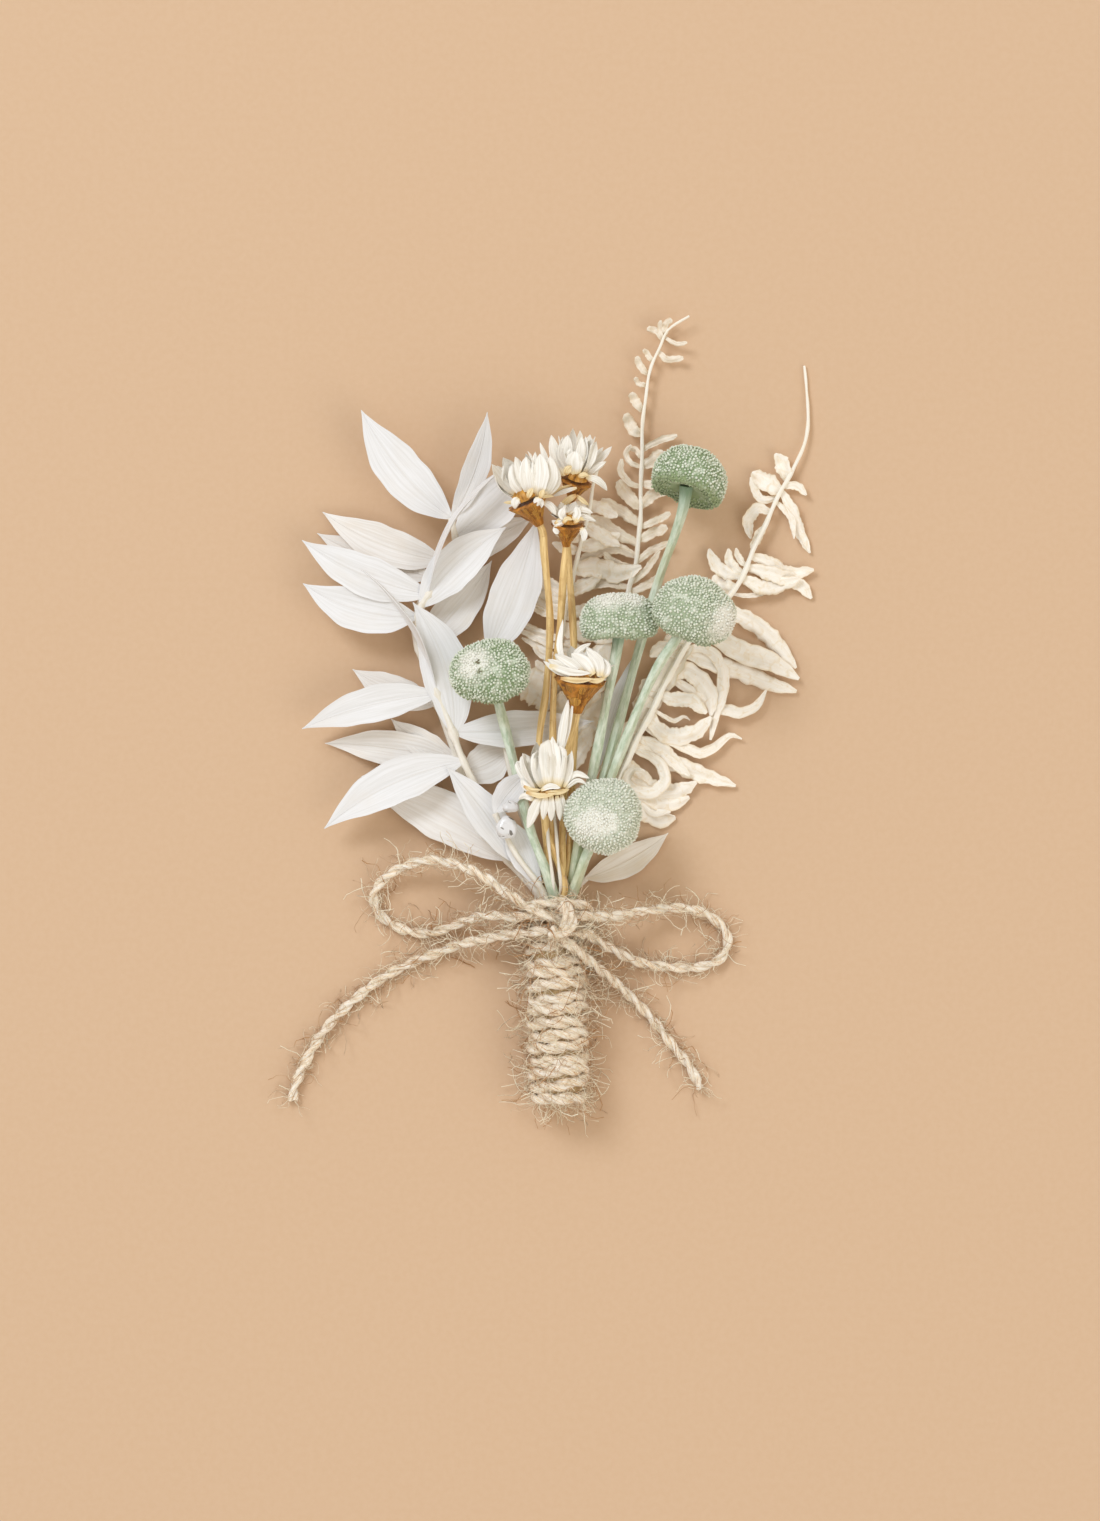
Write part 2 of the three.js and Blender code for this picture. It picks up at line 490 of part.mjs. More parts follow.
// Each whorl of bracts from the middle out: how many, how far they open (degrees from the bloom's
// axis), how much they close again towards the tip, and their length and width.
const DAISIES = [
  {
    at: [-5.1, 37.6, 15.4], axis: [-0.06, 0.95, 0.3], size: 0.95, slot: [-0.5, 1],
    whorls: [
      { count: 5, open: 0, hug: 24, length: 6.6, width: 2.5 },
      { count: 8, open: 12, hug: 42, length: 7.3, width: 2.5 },
      { count: 6, open: 104, hug: -20, length: 2.6, width: 1.5 },
    ],
    stem: [[-1.7, -31.0, 6.9], [-2.8, -19.4, 7.6], [-3.7, -6.5, 8.3], [-2.4, 3.8, 8.5], [-1.7, 16.2, 9.2],
      [-3.2, 29.0, 12.4]],
  },
  {
    at: [3.4, 41.4, 10.2], axis: [0.1, 0.92, 0.38], size: 0.8, slot: [0, 0],
    whorls: [
      { count: 4, open: 8, hug: 12, length: 7.8, width: 2.2 },
      { count: 7, open: 32, hug: 14, length: 7.6, width: 2.1 },
      { count: 5, open: 106, hug: -26, length: 4.4, width: 1.5 },
    ],
    stem: [[0.9, -31.0, 5.4], [2.0, -21.4, 6.1], [2.4, -10.8, 7.1], [2.8, -4.5, 7.3], [2.8, 5.0, 7.2],
      [2.4, 16.0, 7.2], [2.0, 28.0, 6.4], [2.4, 33.6, 6.8]],
  },
  {
    at: [1.5, 32.8, 13.2], axis: [0.08, 0.94, 0.3], size: 0.75, slot: [-1, 0],
    whorls: [
      { count: 4, open: 34, hug: 30, length: 2.8, width: 1.8 },
      { count: 5, open: 66, hug: 14, length: 2.8, width: 1.7 },
      { count: 4, open: 112, hug: -32, length: 2.5, width: 1.6 },
    ],
    stem: [[-2.0, -30.0, 5.6], [-1.3, -19.0, 6.4], [-1.2, -6.0, 7.4], [-1.0, 4.0, 7.6], [0.2, 16.2, 9.4],
      [0.8, 25.6, 11.6]],
  },
  {
    at: [3.7, 6.0, 14.6], axis: [0.02, 0.95, 0.3], size: 1.25, slot: [0.5, 1],
    whorls: [
      { count: 4, open: 30, hug: 30, length: 4.0, width: 1.9 },
      { count: 8, open: 70, hug: 18, length: 4.6, width: 1.7 },
    ],
    stem: [[0.4, -31.0, 6.6], [0.6, -20.0, 7.3], [1.2, -10.0, 9.0], [3.0, -3.8, 11.4]],
  },
  {
    at: [-2.5, -15.6, 13.4], axis: [0, 0.85, 0.52], size: 0.8, slot: [1, 2],
    whorls: [
      { count: 4, open: 0, hug: 16, length: 8.8, width: 2.6 },
      { count: 7, open: 20, hug: 24, length: 8.6, width: 2.4 },
      { count: 4, open: 118, hug: -38, length: 5.6, width: 2.2, from: 156, to: 290 },
    ],
    stem: [[0.9, -32.0, 8.1], [-0.8, -26.0, 8.8], [-2.2, -22.4, 9.6]],
  },
];

const CUP = [[0, -4.6], [0.75, -4.6], [1.15, -3.4], [2.3, -1.5], [3.3, -0.2], [2.9, 0.1], [2.1, -0.1], [0, -0.3]];
const CORE = [[0, 0.2], [2.2, 0.6], [1.9, 2.1], [0, 2.3]];

const turned = (points, around, size) => {
  const profile = points.map(([r, z]) => new THREE.Vector2(r * size, z * size));
  const geometry = new THREE.LatheGeometry(profile, around);
  return geometry.rotateX(Math.PI / 2);
};

/** Where a bloom stands: its axis is the local +Z. */
function bloomMatrix({ at, axis }) {
  const turn = new THREE.Quaternion().setFromUnitVectors(new THREE.Vector3(0, 0, 1), vec(axis).normalize());
  return new THREE.Matrix4().compose(vec(at), turn, new THREE.Vector3(1, 1, 1));
}

/** One papery bract: it leaves the core, opens, and closes again towards its tip. */
function bract(azimuth, { open, hug, length, width }, radius, height) {
  const outward = new THREE.Vector3(Math.cos(azimuth), Math.sin(azimuth), 0);
  const side = new THREE.Vector3(-Math.sin(azimuth), Math.cos(azimuth), 0);
  const axis = new THREE.Vector3(0, 0, 1);
  const at = outward.clone().multiplyScalar(radius).addScaledVector(axis, height);
  const share = length > 5 ? [0.5, 1, 0.86, 0.2] : [0.6, 1, 0.3];
  const rows = [];
  share.forEach((part, i) => {
    const t = i / (share.length - 1);
    const lean = THREE.MathUtils.degToRad(open + hug * (1 - 2 * t));
    const along = outward.clone().multiplyScalar(Math.sin(lean)).addScaledVector(axis, Math.cos(lean));
    const up = along.clone().cross(side).normalize();
    const half = Math.max(0.3, (part * width) / 2);
    const edge = (sign) => ({ at: at.clone().addScaledVector(side, sign * half), up });
    rows.push([edge(1), edge(-1)]);
    at.addScaledVector(along, length / (share.length - 1));
  });
  return blade(rows, BLADE);
}

function bractHead({ whorls, size }, seed) {
  const draw = seeded(seed);
  const solids = [solidOf(turned(CORE, 9, size))];
  whorls.forEach((whorl, level) => {
    const { count, from = 0, to = 360 } = whorl;
    for (let i = 0; i < count; i += 1) {
      const share = (i + 0.5 * (level % 2) + 0.2 * (draw() - 0.5)) / count;
      const open = whorl.open + 8 * (draw() - 0.5);
      const length = whorl.length * (0.9 + 0.2 * draw());
      const azimuth = THREE.MathUtils.degToRad(mix(from, to, share));
      const root = [(0.8 + 0.6 * level) * size, (1.7 - 0.35 * level) * size];
      solids.push(solidOf(bract(azimuth, { ...whorl, open, length }, ...root)));
    }
  });
  return geometryOf(grow(solids));
}

/** The amber cup with its golden stem, one body. */
function cupAndStem(daisy) {
  const place = bloomMatrix(daisy);
  const length = CUP[0][1] * daisy.size;
  const foot = new THREE.Vector3(0, 0, length + 0.6).applyMatrix4(place);
  const approach = new THREE.Vector3(0, 0, length - 1.4).applyMatrix4(place);
  const path = fromWrap(daisy.slot, [...daisy.stem, approach.toArray(), foot.toArray()]);
  const cup = turned(CUP, 9, daisy.size).applyMatrix4(place);
  return geometryOf(grow([solidOf(cup), solidOf(tube(path, 0.5))]));
}

// ---------------------------------------------------------------- twine

/** The twine wound round the stems: a ridged tube, flattened a little where it rests. */
function wrapTube() {
  const around = 11;
  const span = HANDLE.top[1] - HANDLE.bottom[1];
  const rings = Math.round((span / HANDLE.pitch) * 3);
  const loops = [];
  for (let i = 0; i <= rings; i += 1) loops.push({ t: i / rings, outer: true });
  loops.push({ t: 1, outer: false }, { t: 0, outer: false });
  const positions = [];
  for (const { t, outer } of loops) {
    for (let j = 0; j < around; j += 1) {
      const angle = (j / around) * 2 * Math.PI;
      const turns = (t * span) / HANDLE.pitch + j / around;
      const ridge = Math.abs(Math.cos(Math.PI * turns)) ** 0.7;
      const radius = outer ? mix(HANDLE.groove, HANDLE.ridge, ridge) : HANDLE.bore;
      const [x, y, z] = inWrap([0, 0], mix(HANDLE.bottom[1], HANDLE.top[1], t));
      positions.push(x + radius * Math.cos(angle), y, z + radius * Math.sin(angle));
    }
  }
  const index = [];
  for (let i = 0; i < loops.length; i += 1) {
    for (let j = 0; j < around; j += 1) {
      const [a, b] = [i * around + j, i * around + ((j + 1) % around)];
      const next = ((i + 1) % loops.length) * around;
      const [c, d] = [next + ((j + 1) % around), next + j];
      index.push(a, b, c, a, c, d);
    }
  }
  const geometry = new THREE.BufferGeometry();
  geometry.setAttribute('position', new THREE.Float32BufferAttribute(positions, 3));
  geometry.setIndex(index);
  const above = new THREE.BoxGeometry(60, 120, 40).translate(0, -50, 20);
  return geometryOf(solidOf(geometry).intersect(solidOf(above)));
}

/** A place on a circle round the handle, over the wrap: angle 0 is straight in front. */
function overWrap(degrees, y) {
  const reach = HANDLE.ridge + GAP + CORD / 2;
  const angle = THREE.MathUtils.degToRad(degrees);
  const [x, , z] = inWrap([0, 0], y);
  return [x + reach * Math.sin(angle), y, z + reach * Math.cos(angle)];
}

/** The knot: three strands laid over the wrap and one drawn over them. */
function knot() {
  const strands = [
    [overWrap(-46, -35.2), overWrap(-20, -35.6), overWrap(10, -36.3), overWrap(38, -37.0)],
    [overWrap(-46, -37.6), overWrap(-20, -37.9), overWrap(10, -38.6), overWrap(38, -39.5)],
    [overWrap(-46, -40.0), overWrap(-22, -40.1), overWrap(4, -40.9), overWrap(26, -42.4)],
    [[1.4, -35.0, 12.0], [1.7, -36.2, 13.7], [1.8, -38.4, 14.4], [1.8, -40.6, 13.4], [1.6, -41.4, 11.9]],
  ];
  return geometryOf(grow(strands.map((points) => solidOf(tube(points, CORD / 2, 8, 6)))));
}

// Routes of the bow, from the knot out. They rest on the table at their far ends.
const BOW = {
  bow_loop_left: [
    [-6.6, -34.8, 9.3], [-8.8, -33.6, 9.2], [-11.8, -31.2, 8.9], [-15.4, -29.0, 8.3], [-19.6, -27.6, 7.2],
    [-23.6, -27.0, 6.0], [-27.6, -28.0, 4.4], [-31.4, -30.2, 2.8], [-33.6, -33.4, 1.8], [-32.6, -36.8, 1.3],
    [-28.8, -39.4, 1.2], [-24.4, -40.4, 1.2], [-20.4, -39.4, 2.0], [-16.5, -37.8, 3.8], [-12.6, -37.0, 6.0],
    [-9.0, -37.2, 8.2], [-6.35, -37.5, 9.5],
  ],
  bow_loop_right: [
    [3.75, -37.1, 10.1], [8.9, -37.2, 8.2], [13.9, -36.5, 6.2], [19.2, -35.8, 4.4], [24.0, -36.0, 2.8],
    [28.0, -37.8, 1.8], [30.4, -41.0, 1.3], [29.4, -44.6, 1.2], [25.6, -46.4, 1.2], [20.4, -46.5, 1.2],
    [13.9, -45.4, 2.6], [9.2, -43.0, 5.6], [6.0, -41.0, 8.2], [3.85, -39.8, 9.9],
  ],
  bow_tail_left: [
    [-6.35, -40.1, 9.4], [-11.8, -40.9, 6.2], [-17.6, -42.2, 3.2], [-22.2, -43.9, 1.5], [-26.7, -45.7, 1.2],
    [-31.6, -48.2, 1.2], [-37.7, -52.9, 1.2], [-42.4, -57.8, 1.2], [-46.0, -63.7, 1.2], [-47.8, -67.6, 1.2],
    [-48.2, -70.6, 1.2],
  ],
  bow_tail_right: [
    [2.85, -43.0, 11.1], [6.4, -46.0, 8.0], [11.2, -50.2, 3.8], [15.9, -54.9, 1.6], [20.4, -60.5, 1.2],
    [23.6, -64.6, 1.2], [25.5, -68.4, 1.2],
  ],
};

const cordSteps = (points) => Math.round(route(points).getLength() / (2 * CORD));

// ---------------------------------------------------------------- glue

/** A drop of set glue: a small round lump with uneven sides. */
function glueDrop(size) {
  const drop = new THREE.IcosahedronGeometry(1, 1);
  const position = drop.attributes.position;
  for (let i = 0; i < position.count; i += 1) {
    const [x, y, z] = [position.getX(i), position.getY(i), position.getZ(i)];
    const uneven = 1 + 0.14 * Math.sin(3 * x + 2 * y) * Math.cos(2 * z - x);
    position.setXYZ(i, x * uneven * size[0], y * uneven * size[1], z * uneven * size[2]);
  }
  return geometryOf(solidOf(drop));
}

// ---------------------------------------------------------------- the bunch

const boutonniere = new THREE.Group();

const sprays = [
  ['ruscus_spray_front', [-1.5, 1], FRONT_SPRAY_STEM, [...FRONT_SPRAY_LEAVES, ...FRONT_SPRAY_EDGE_LEAVES]],
  ['ruscus_spray_back', [-1.5, -1], BACK_SPRAY_STEM, BACK_SPRAY_LEAVES],
  ['ruscus_sprig_middle', [-2, 0], MIDDLE_SPRIG_STEM, MIDDLE_SPRIG_LEAVES],
  ['ruscus_sprig_low', [-1, 2], LOW_SPRIG_STEM, LOW_SPRIG_LEAVES],
  ['ruscus_sprig_narrow', [-0.5, -1], NARROW_SPRIG_STEM, NARROW_SPRIG_LEAVES],
  ['ruscus_leaf_right', [1, -2], RIGHT_LEAF_STEM, RIGHT_LEAVES],
];
for (const [name, slot, stem, leaves] of sprays) {
  const tint = name === 'ruscus_spray_back' || name === 'ruscus_leaf_right' ? SHADED_LEAF : BLEACHED_LEAF;
  boutonniere.add(meshNamed(name, ruscusSpray(slot, stem, leaves), tint));
}

const leftLeaflets = leafletRows({
  midrib: LEFT_FROND_RIB, first: 0.955, last: 0.52, count: 13, length: [2.8, 8.6], lift: 0.3,
  curlUp: 0.4, seed: 11, width: [1.7, 2.5], heights: [1.9, 2.4],
});
const middleLeaflets = leafletRows({
  midrib: MIDDLE_FROND_RIB, first: 0.96, last: 0.56, count: 8, length: [4.4, 9.4], lift: 0.5,
  curlUp: 0.1, seed: 23, width: [1.4, 1.8], heights: [3.4, 4.9],
});
const fronds = [
  ['fern_frond_left', [0, -2], LEFT_FROND_RIB, leftLeaflets],
  ['fern_frond_middle', [-1, -2], MIDDLE_FROND_RIB, middleLeaflets],
  ['fern_frond_right', [1.5, -1], RIGHT_FROND_RIB, RIGHT_FROND_LEAFLETS],
];
for (const [name, slot, rib, leaflets] of fronds) {
  boutonniere.add(meshNamed(name, frond(slot, rib, leaflets, 0.5), BLEACHED_FERN));
}

BUTTONS.forEach(({ head, axis, radius, squash, slot, stem }, i) => {
  const bloom = meshNamed(`button_head_${i + 1}`, buttonHead(radius, BUTTON.dome, squash), SAGE_HEAD);
  bloom.applyMatrix4(bloomMatrix({ at: head, axis }));
  boutonniere.add(bloom);
  const stalk = geometryOf(grow([solidOf(tube(fromWrap(slot, stem), STEM))]));
  boutonniere.add(meshNamed(`button_stem_${i + 1}`, stalk, SAGE_STEM));
});

DAISIES.forEach((daisy, i) => {
  const bracts = meshNamed(`daisy_bracts_${i + 1}`, bractHead(daisy, 41 + i), WHITE_BRACT);
  bracts.applyMatrix4(bloomMatrix(daisy));
  boutonniere.add(bracts);
  boutonniere.add(meshNamed(`daisy_cup_${i + 1}`, cupAndStem(daisy), AMBER_CUP));
});

boutonniere.add(meshNamed('twine_wrap', wrapTube(), JUTE));
boutonniere.add(meshNamed('bow_knot', knot(), JUTE));
for (const [name, points] of Object.entries(BOW)) {
  boutonniere.add(meshNamed(name, tube(points, CORD / 2, 8, cordSteps(points)), JUTE));
}

const drops = [
  ['glue_drop_upper', [-8.8, -17.4, 11.6], [1.5, 1.1, 1.0]],
  ['glue_drop_lower', [-9.4, -21.4, 10.9], [1.6, 1.8, 1.0]],
];
for (const [name, at, size] of drops) {
  const drop = meshNamed(name, glueDrop(size), CLEAR_GLUE);
  drop.position.set(...at);
  boutonniere.add(drop);
}

export default boutonniere;
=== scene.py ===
"""Looks of a dried-flower boutonniere that lies on its back on a table.

Bleached ruscus, bleached fern, sage button flowers and white everlasting daisies, bound with jute
twine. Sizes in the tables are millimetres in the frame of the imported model: +Y runs to the tips,
+X is to the right seen from the front, +Z is the front, and the table is z = 0.
"""

from __future__ import annotations

import logging
import math
from collections.abc import Sequence
from dataclasses import dataclass, field, replace
from enum import Enum

import bpy
import numpy as np
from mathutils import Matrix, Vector


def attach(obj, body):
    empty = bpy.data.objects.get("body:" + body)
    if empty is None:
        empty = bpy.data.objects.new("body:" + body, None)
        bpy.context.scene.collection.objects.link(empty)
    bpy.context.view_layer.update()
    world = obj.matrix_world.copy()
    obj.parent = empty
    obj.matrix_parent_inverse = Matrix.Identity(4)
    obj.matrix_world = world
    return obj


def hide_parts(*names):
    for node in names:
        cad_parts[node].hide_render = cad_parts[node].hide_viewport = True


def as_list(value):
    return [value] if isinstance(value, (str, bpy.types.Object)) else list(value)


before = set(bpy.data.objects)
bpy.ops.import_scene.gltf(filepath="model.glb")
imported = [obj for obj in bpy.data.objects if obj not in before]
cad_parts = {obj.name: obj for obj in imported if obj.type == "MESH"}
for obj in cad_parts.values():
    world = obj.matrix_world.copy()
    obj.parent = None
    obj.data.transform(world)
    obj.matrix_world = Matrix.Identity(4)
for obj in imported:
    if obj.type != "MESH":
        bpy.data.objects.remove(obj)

MM = 0.001
TURN = 6.28  # a whole turn of a wave's phase
CORD_WIDTH = 2.2
FRONT = np.array([0.0, 0.0, 1.0])
LOG = logging.getLogger("boutonniere")
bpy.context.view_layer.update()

Point = tuple[float, float, float]
Place = tuple[float, float]
Array = np.ndarray
Socket = bpy.types.NodeSocket
Material = bpy.types.Material


# ------------------------------------------------------------------ numbers and routes


def unit(vectors: Array) -> Array:
    """Vectors brought to length one."""
    size = np.linalg.norm(vectors, axis=-1, keepdims=True)
    return vectors / np.maximum(size, 1e-9)


def turned_about(vectors: Array, axes: Array, angles: Array | float) -> Array:
    """Vectors turned about unit axes, one for each, by one angle for all or one for each (radians)."""
    angles = np.broadcast_to(np.asarray(angles, float), vectors.shape[:-1])[..., None]
    along = np.sum(axes * vectors, axis=-1, keepdims=True)
    across = vectors * np.cos(angles) + np.cross(axes, vectors) * np.sin(angles)
    return across + axes * along * (1 - np.cos(angles))


def turn_from_up(axis: Point) -> Array:
    """The shortest turn that brings +Z to an axis, as a 3 by 3 matrix."""
    quaternion = Vector((0, 0, 1)).rotation_difference(Vector(axis).normalized())
    return np.array(quaternion.to_matrix())


def blend(a: float, b: float, t: float | Array) -> float | Array:
    """The value at share t of the way from a to b."""
    return a + (b - a) * t


def around(count: int) -> Array:
    """Angles evenly spaced round a circle, in radians."""
    return np.arange(count) / count * 2 * math.pi


def run_of(line: Array) -> Array:
    """The distance along a line at each of its places."""
    return np.concatenate([[0.0], np.cumsum(np.linalg.norm(np.diff(line, axis=0), axis=1))])


def pairs(numbers: Sequence[float]) -> tuple[Place, ...]:
    """Numbers taken two by two, as places."""
    return tuple(zip(numbers[::2], numbers[1::2]))


class Draw:
    """A seeded random number maker, the same one that the solids were made with."""

    def __init__(self, seed: int) -> None:
        """Starts from a whole number."""
        self.state = seed

    def __call__(self) -> float:
        """The next number from 0 to 1."""
        self.state = (self.state * 1664525 + 1013904223) % 4294967296
        return self.state / 4294967296

    def between(self, low: float, high: float) -> float:
        """The next number from low to high."""
        return low + (high - low) * self()

    def phase(self) -> float:
        """The next number as a wave's phase."""
        return TURN * self()


class Route:
    """A smooth line through points, as the solids' stems and cords follow it."""

    def __init__(self, points: Sequence[Sequence[float]], fine: int = 36) -> None:
        """Draws the line through points, with so many short steps between two of them."""
        p = np.array(points, float)
        p = np.vstack([2 * p[0] - p[1], p, 2 * p[-1] - p[-2]])
        gaps = np.maximum(np.sum(np.diff(p, axis=0) ** 2, axis=1) ** 0.25, 1e-4)
        share = np.arange(fine)[:, None] / fine
        spans = []
        for i in range(1, len(p) - 2):
            before, here, after = gaps[i - 1 : i + 2]
            a, b, c, d = p[i - 1 : i + 3]
            leave = ((b - a) / before - (c - a) / (before + here) + (c - b) / here) * here
            enter = ((c - b) / here - (d - b) / (here + after) + (d - c) / after) * here
            cubic = 2 * b - 2 * c + leave + enter
            square = -3 * b + 3 * c - 2 * leave - enter
            spans.append(b + leave * share + square * share**2 + cubic * share**3)
        self.line = np.vstack([*spans, p[-2][None]])
        self.run = run_of(self.line)
        self.length = float(self.run[-1])

    def at(self, share: Array | float) -> Array:
        """Places at shares of the line's length."""
        distance = np.asarray(share, float) * self.length
        return np.stack([np.interp(distance, self.run, self.line[:, k]) for k in range(3)], axis=-1)

    def spaced(self, step: float) -> Array:
        """Places about a step apart, both ends among them."""
        return self.at(np.linspace(0, 1, max(3, round(self.length / step) + 1)))

    def nearest(self, place: Place) -> Array:
        """The point of the line nearest to a place seen from the front."""
        marks = self.at(np.linspace(0, 1, 201))
        gap = np.hypot(marks[:, 0] - place[0], marks[:, 1] - place[1])
        return marks[int(np.argmin(gap))]


def carried(line: Array) -> tuple[Array, Array]:
    """Unit rows side and up that go along a line without twisting about it."""
    along = unit(np.gradient(line, axis=0))
    up = np.zeros_like(line)
    up[0] = unit(FRONT - along[0] * np.dot(FRONT, along[0]))
    for i in range(1, len(line)):
        up[i] = unit(up[i - 1] - along[i] * np.dot(up[i - 1], along[i]))
    return np.cross(along, up), up


def faced(along: Array, turn: Array | float) -> tuple[Array, Array]:
    """Unit rows side and up of a blade that faces the front, then turns about its length (radians)."""
    side = turned_about(unit(np.cross(along, FRONT)), along, turn)
    return side, unit(np.cross(side, along))


# ------------------------------------------------------------------ meshes


class Shape:
    """Gathers closed forms into one mesh, each with its own surface coordinates and tone.

    A tone is a number from 0 to 1 for a whole form or for each of its rings, and a kind is the
    number of the finish that the form wears.
    """

    def __init__(self) -> None:
        """Starts empty."""
        self.points: list[Array] = []
        self.faces: list[list[int]] = []
        self.surface: list[Array] = []
        self.tones: list[Array] = []
        self.kinds: list[int] = []
        self.count = 0

    def loft(
        self, rings: Array, along: Array, across: Array, tone: float | Array = 0.5, kind: int = 0
    ) -> None:
        """Adds a closed skin over rings, shut at both ends.

        Args:
            rings: n rings of m points in millimetres, as an array n by m by 3.
            along: the first surface coordinate, one for each ring.
            across: the second, one for each point of a ring and one more for the way back.
            tone: the form's tone.
            kind: the form's finish.
        """
        n, m, _ = rings.shape
        points = np.vstack([rings.reshape(-1, 3), rings[0].mean(0), rings[-1].mean(0)])
        i, j = (part.ravel() for part in np.meshgrid(np.arange(n - 1), np.arange(m), indexing="ij"))
        corners = ((i, j), (i, j + 1), (i + 1, j + 1), (i + 1, j))
        quads = np.stack([a * m + b % m for a, b in corners], axis=1)
        marks = np.stack([np.stack([along[a], across[b]], 1) for a, b in corners], axis=1)
        j = np.arange(m)
        caps, cap_marks = [], []
        for ring, order in ((0, (j + 1, j)), (n - 1, (j, j + 1))):
            centre = n * m + (ring > 0)
            caps.append(np.stack([np.full(m, centre), *[ring * m + o % m for o in order]], 1))
            middle = np.stack([np.full(m, along[ring]), np.full(m, float(np.mean(across)))], 1)
            rim = [np.stack([np.full(m, along[ring]), across[o]], 1) for o in order]
            cap_marks.append(np.stack([middle, *rim], axis=1))
        caps, cap_marks = np.vstack(caps), np.concatenate(cap_marks)
        volume = 0.0
        for corner in (quads[:, :3], quads[:, (0, 2, 3)], caps):
            a, b, c = (points[corner[:, s]] for s in range(3))
            volume += np.sum(a * np.cross(b, c))
        if volume < 0:
            quads, marks, caps, cap_marks = (part[:, ::-1] for part in (quads, marks, caps, cap_marks))
        self.faces += (quads + self.count).tolist() + (caps + self.count).tolist()
        self.surface += [marks.reshape(-1, 2), cap_marks.reshape(-1, 2)]
        self.kinds += [kind] * (len(quads) + len(caps))
        tones = np.broadcast_to(np.asarray(tone, float), (n,))
        self.tones.append(np.concatenate([np.repeat(tones, m), tones[:1], tones[-1:]]))
        self.points.append(points)
        self.count += len(points)

    def tube(
        self,
        line: Array,
        radius: float | Array,
        sides: int = 10,
        tone: float | Array = 0.5,
        kind: int = 0,
        ribs: tuple[int, float] = (0, 0.0),
    ) -> None:
        """Adds a round stem along a line.

        Args:
            line: its middle, in millimetres.
            radius: one for the whole stem or one for each place.
            sides: points around it.
            tone: the stem's tone.
            kind: the stem's finish.
            ribs: how many ribs run along it, and how far they stand out as a share of the radius.
        """
        side, up = (rows[:, None] for rows in carried(line))
        angle = around(sides)
        radii = np.broadcast_to(np.asarray(radius, float), (len(line),))
        reach = radii[:, None] * (1 + ribs[1] * np.cos(ribs[0] * angle))[None, :]
        out = np.cos(angle)[None, :, None] * side + np.sin(angle)[None, :, None] * up
        rings = line[:, None] + reach[..., None] * out
        self.loft(rings, run_of(line), np.arange(sides + 1) / sides, tone, kind)

    def blade(
        self,
        centre: Array,
        frames: tuple[Array, Array],
        half: Array,
        lift: Array,
        columns: Array,
        thick: float,
        along: Array,
        tone: float,
        kind: int = 0,
    ) -> None:
        """Adds a thin closed blade, thickest along its middle.

        Args:
            centre: n places along its middle.
            frames: unit rows towards its right edge, and out of its upper face.
            half: half widths, one for each place, or one for each place and column.
            lift: n by k heights over the middle, for each place and column.
            columns: k shares of the half width, from -1 to 1.
            thick: millimetres at the middle.
            along: the first surface coordinate, one for each place.
            tone: the blade's tone.
            kind: the blade's finish.
        """
        side, up = frames
        spread = half if half.ndim == 2 else half[:, None]
        body = thick * (1 - 0.55 * np.abs(columns) ** 2)[None, :] / 2
        skin = centre[:, None] + side[:, None] * (spread * columns[None, :])[..., None]
        top = skin + up[:, None] * (lift + body)[..., None]
        low = skin + up[:, None] * (lift - body)[..., None]
        across = np.concatenate([columns, columns[::-1], columns[:1]])
        self.loft(np.concatenate([top, low[:, ::-1]], axis=1), along, across, tone, kind)

    def piece(self, name: str, finishes: Sequence[Material], sharp: float = 50) -> bpy.types.Object:
        """Makes the gathered forms one object, in metres, at the origin.

        Args:
            name: the object's name.
            finishes: the materials that kinds count through.
            sharp: edges that turn by more degrees than this stay hard.

        Returns:
            The object.
        """
        mesh = bpy.data.meshes.new(name)
        mesh.from_pydata((np.vstack(self.points) * MM).tolist(), [], self.faces)
        layer = mesh.uv_layers.new(name="surface")
        layer.data.foreach_set("uv", np.vstack(self.surface).astype(np.float32).ravel())
        write_numbers(mesh, "tone", np.concatenate(self.tones))
        for material in finishes:
            mesh.materials.append(material)
        mesh.polygons.foreach_set("material_index", np.array(self.kinds, np.int32))
        mesh.shade_smooth()
        mesh.set_sharp_from_angle(angle=math.radians(sharp))
        mesh.update()
        return linked(name, mesh)


def write_numbers(mesh: bpy.types.Mesh, name: str, values: Array) -> None:
    """Stores a number for each point of a mesh."""
    layer = mesh.attributes.new(name, "FLOAT", "POINT")
    layer.data.foreach_set("value", values.astype(np.float32))


def linked(name: str, data: bpy.types.ID | None) -> bpy.types.Object:
    """A new object that holds the data, in the scene."""
    made = bpy.data.objects.new(name, data)
    bpy.context.scene.collection.objects.link(made)
    return made


def settle(piece: bpy.types.Object, slot: str, *nodes: str) -> bpy.types.Object:
    """Gives a finished piece its body, and hides the solids that it stands for.

    Args:
        piece: the piece.
        slot: the record's slot that its finish comes from; not used.
        *nodes: the solids that it replaces, if any.

    Returns:
        The piece.
    """
    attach(piece, "root")
    if nodes:
        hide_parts(*nodes)
    LOG.info("%s: %d faces", piece.name, len(piece.data.polygons))
    return piece


# ------------------------------------------------------------------ node trees


def linear(hex_colour: str) -> tuple[float, float, float, float]:
    """An sRGB colour such as f2f2f0 as linear red, green, blue and alpha."""
    parts = [int(hex_colour[i : i + 2], 16) / 255 for i in (0, 2, 4)]
    flat = [c / 12.92 if c <= 0.04045 else ((c + 0.055) / 1.055) ** 2.4 for c in parts]
    return (*flat, 1.0)


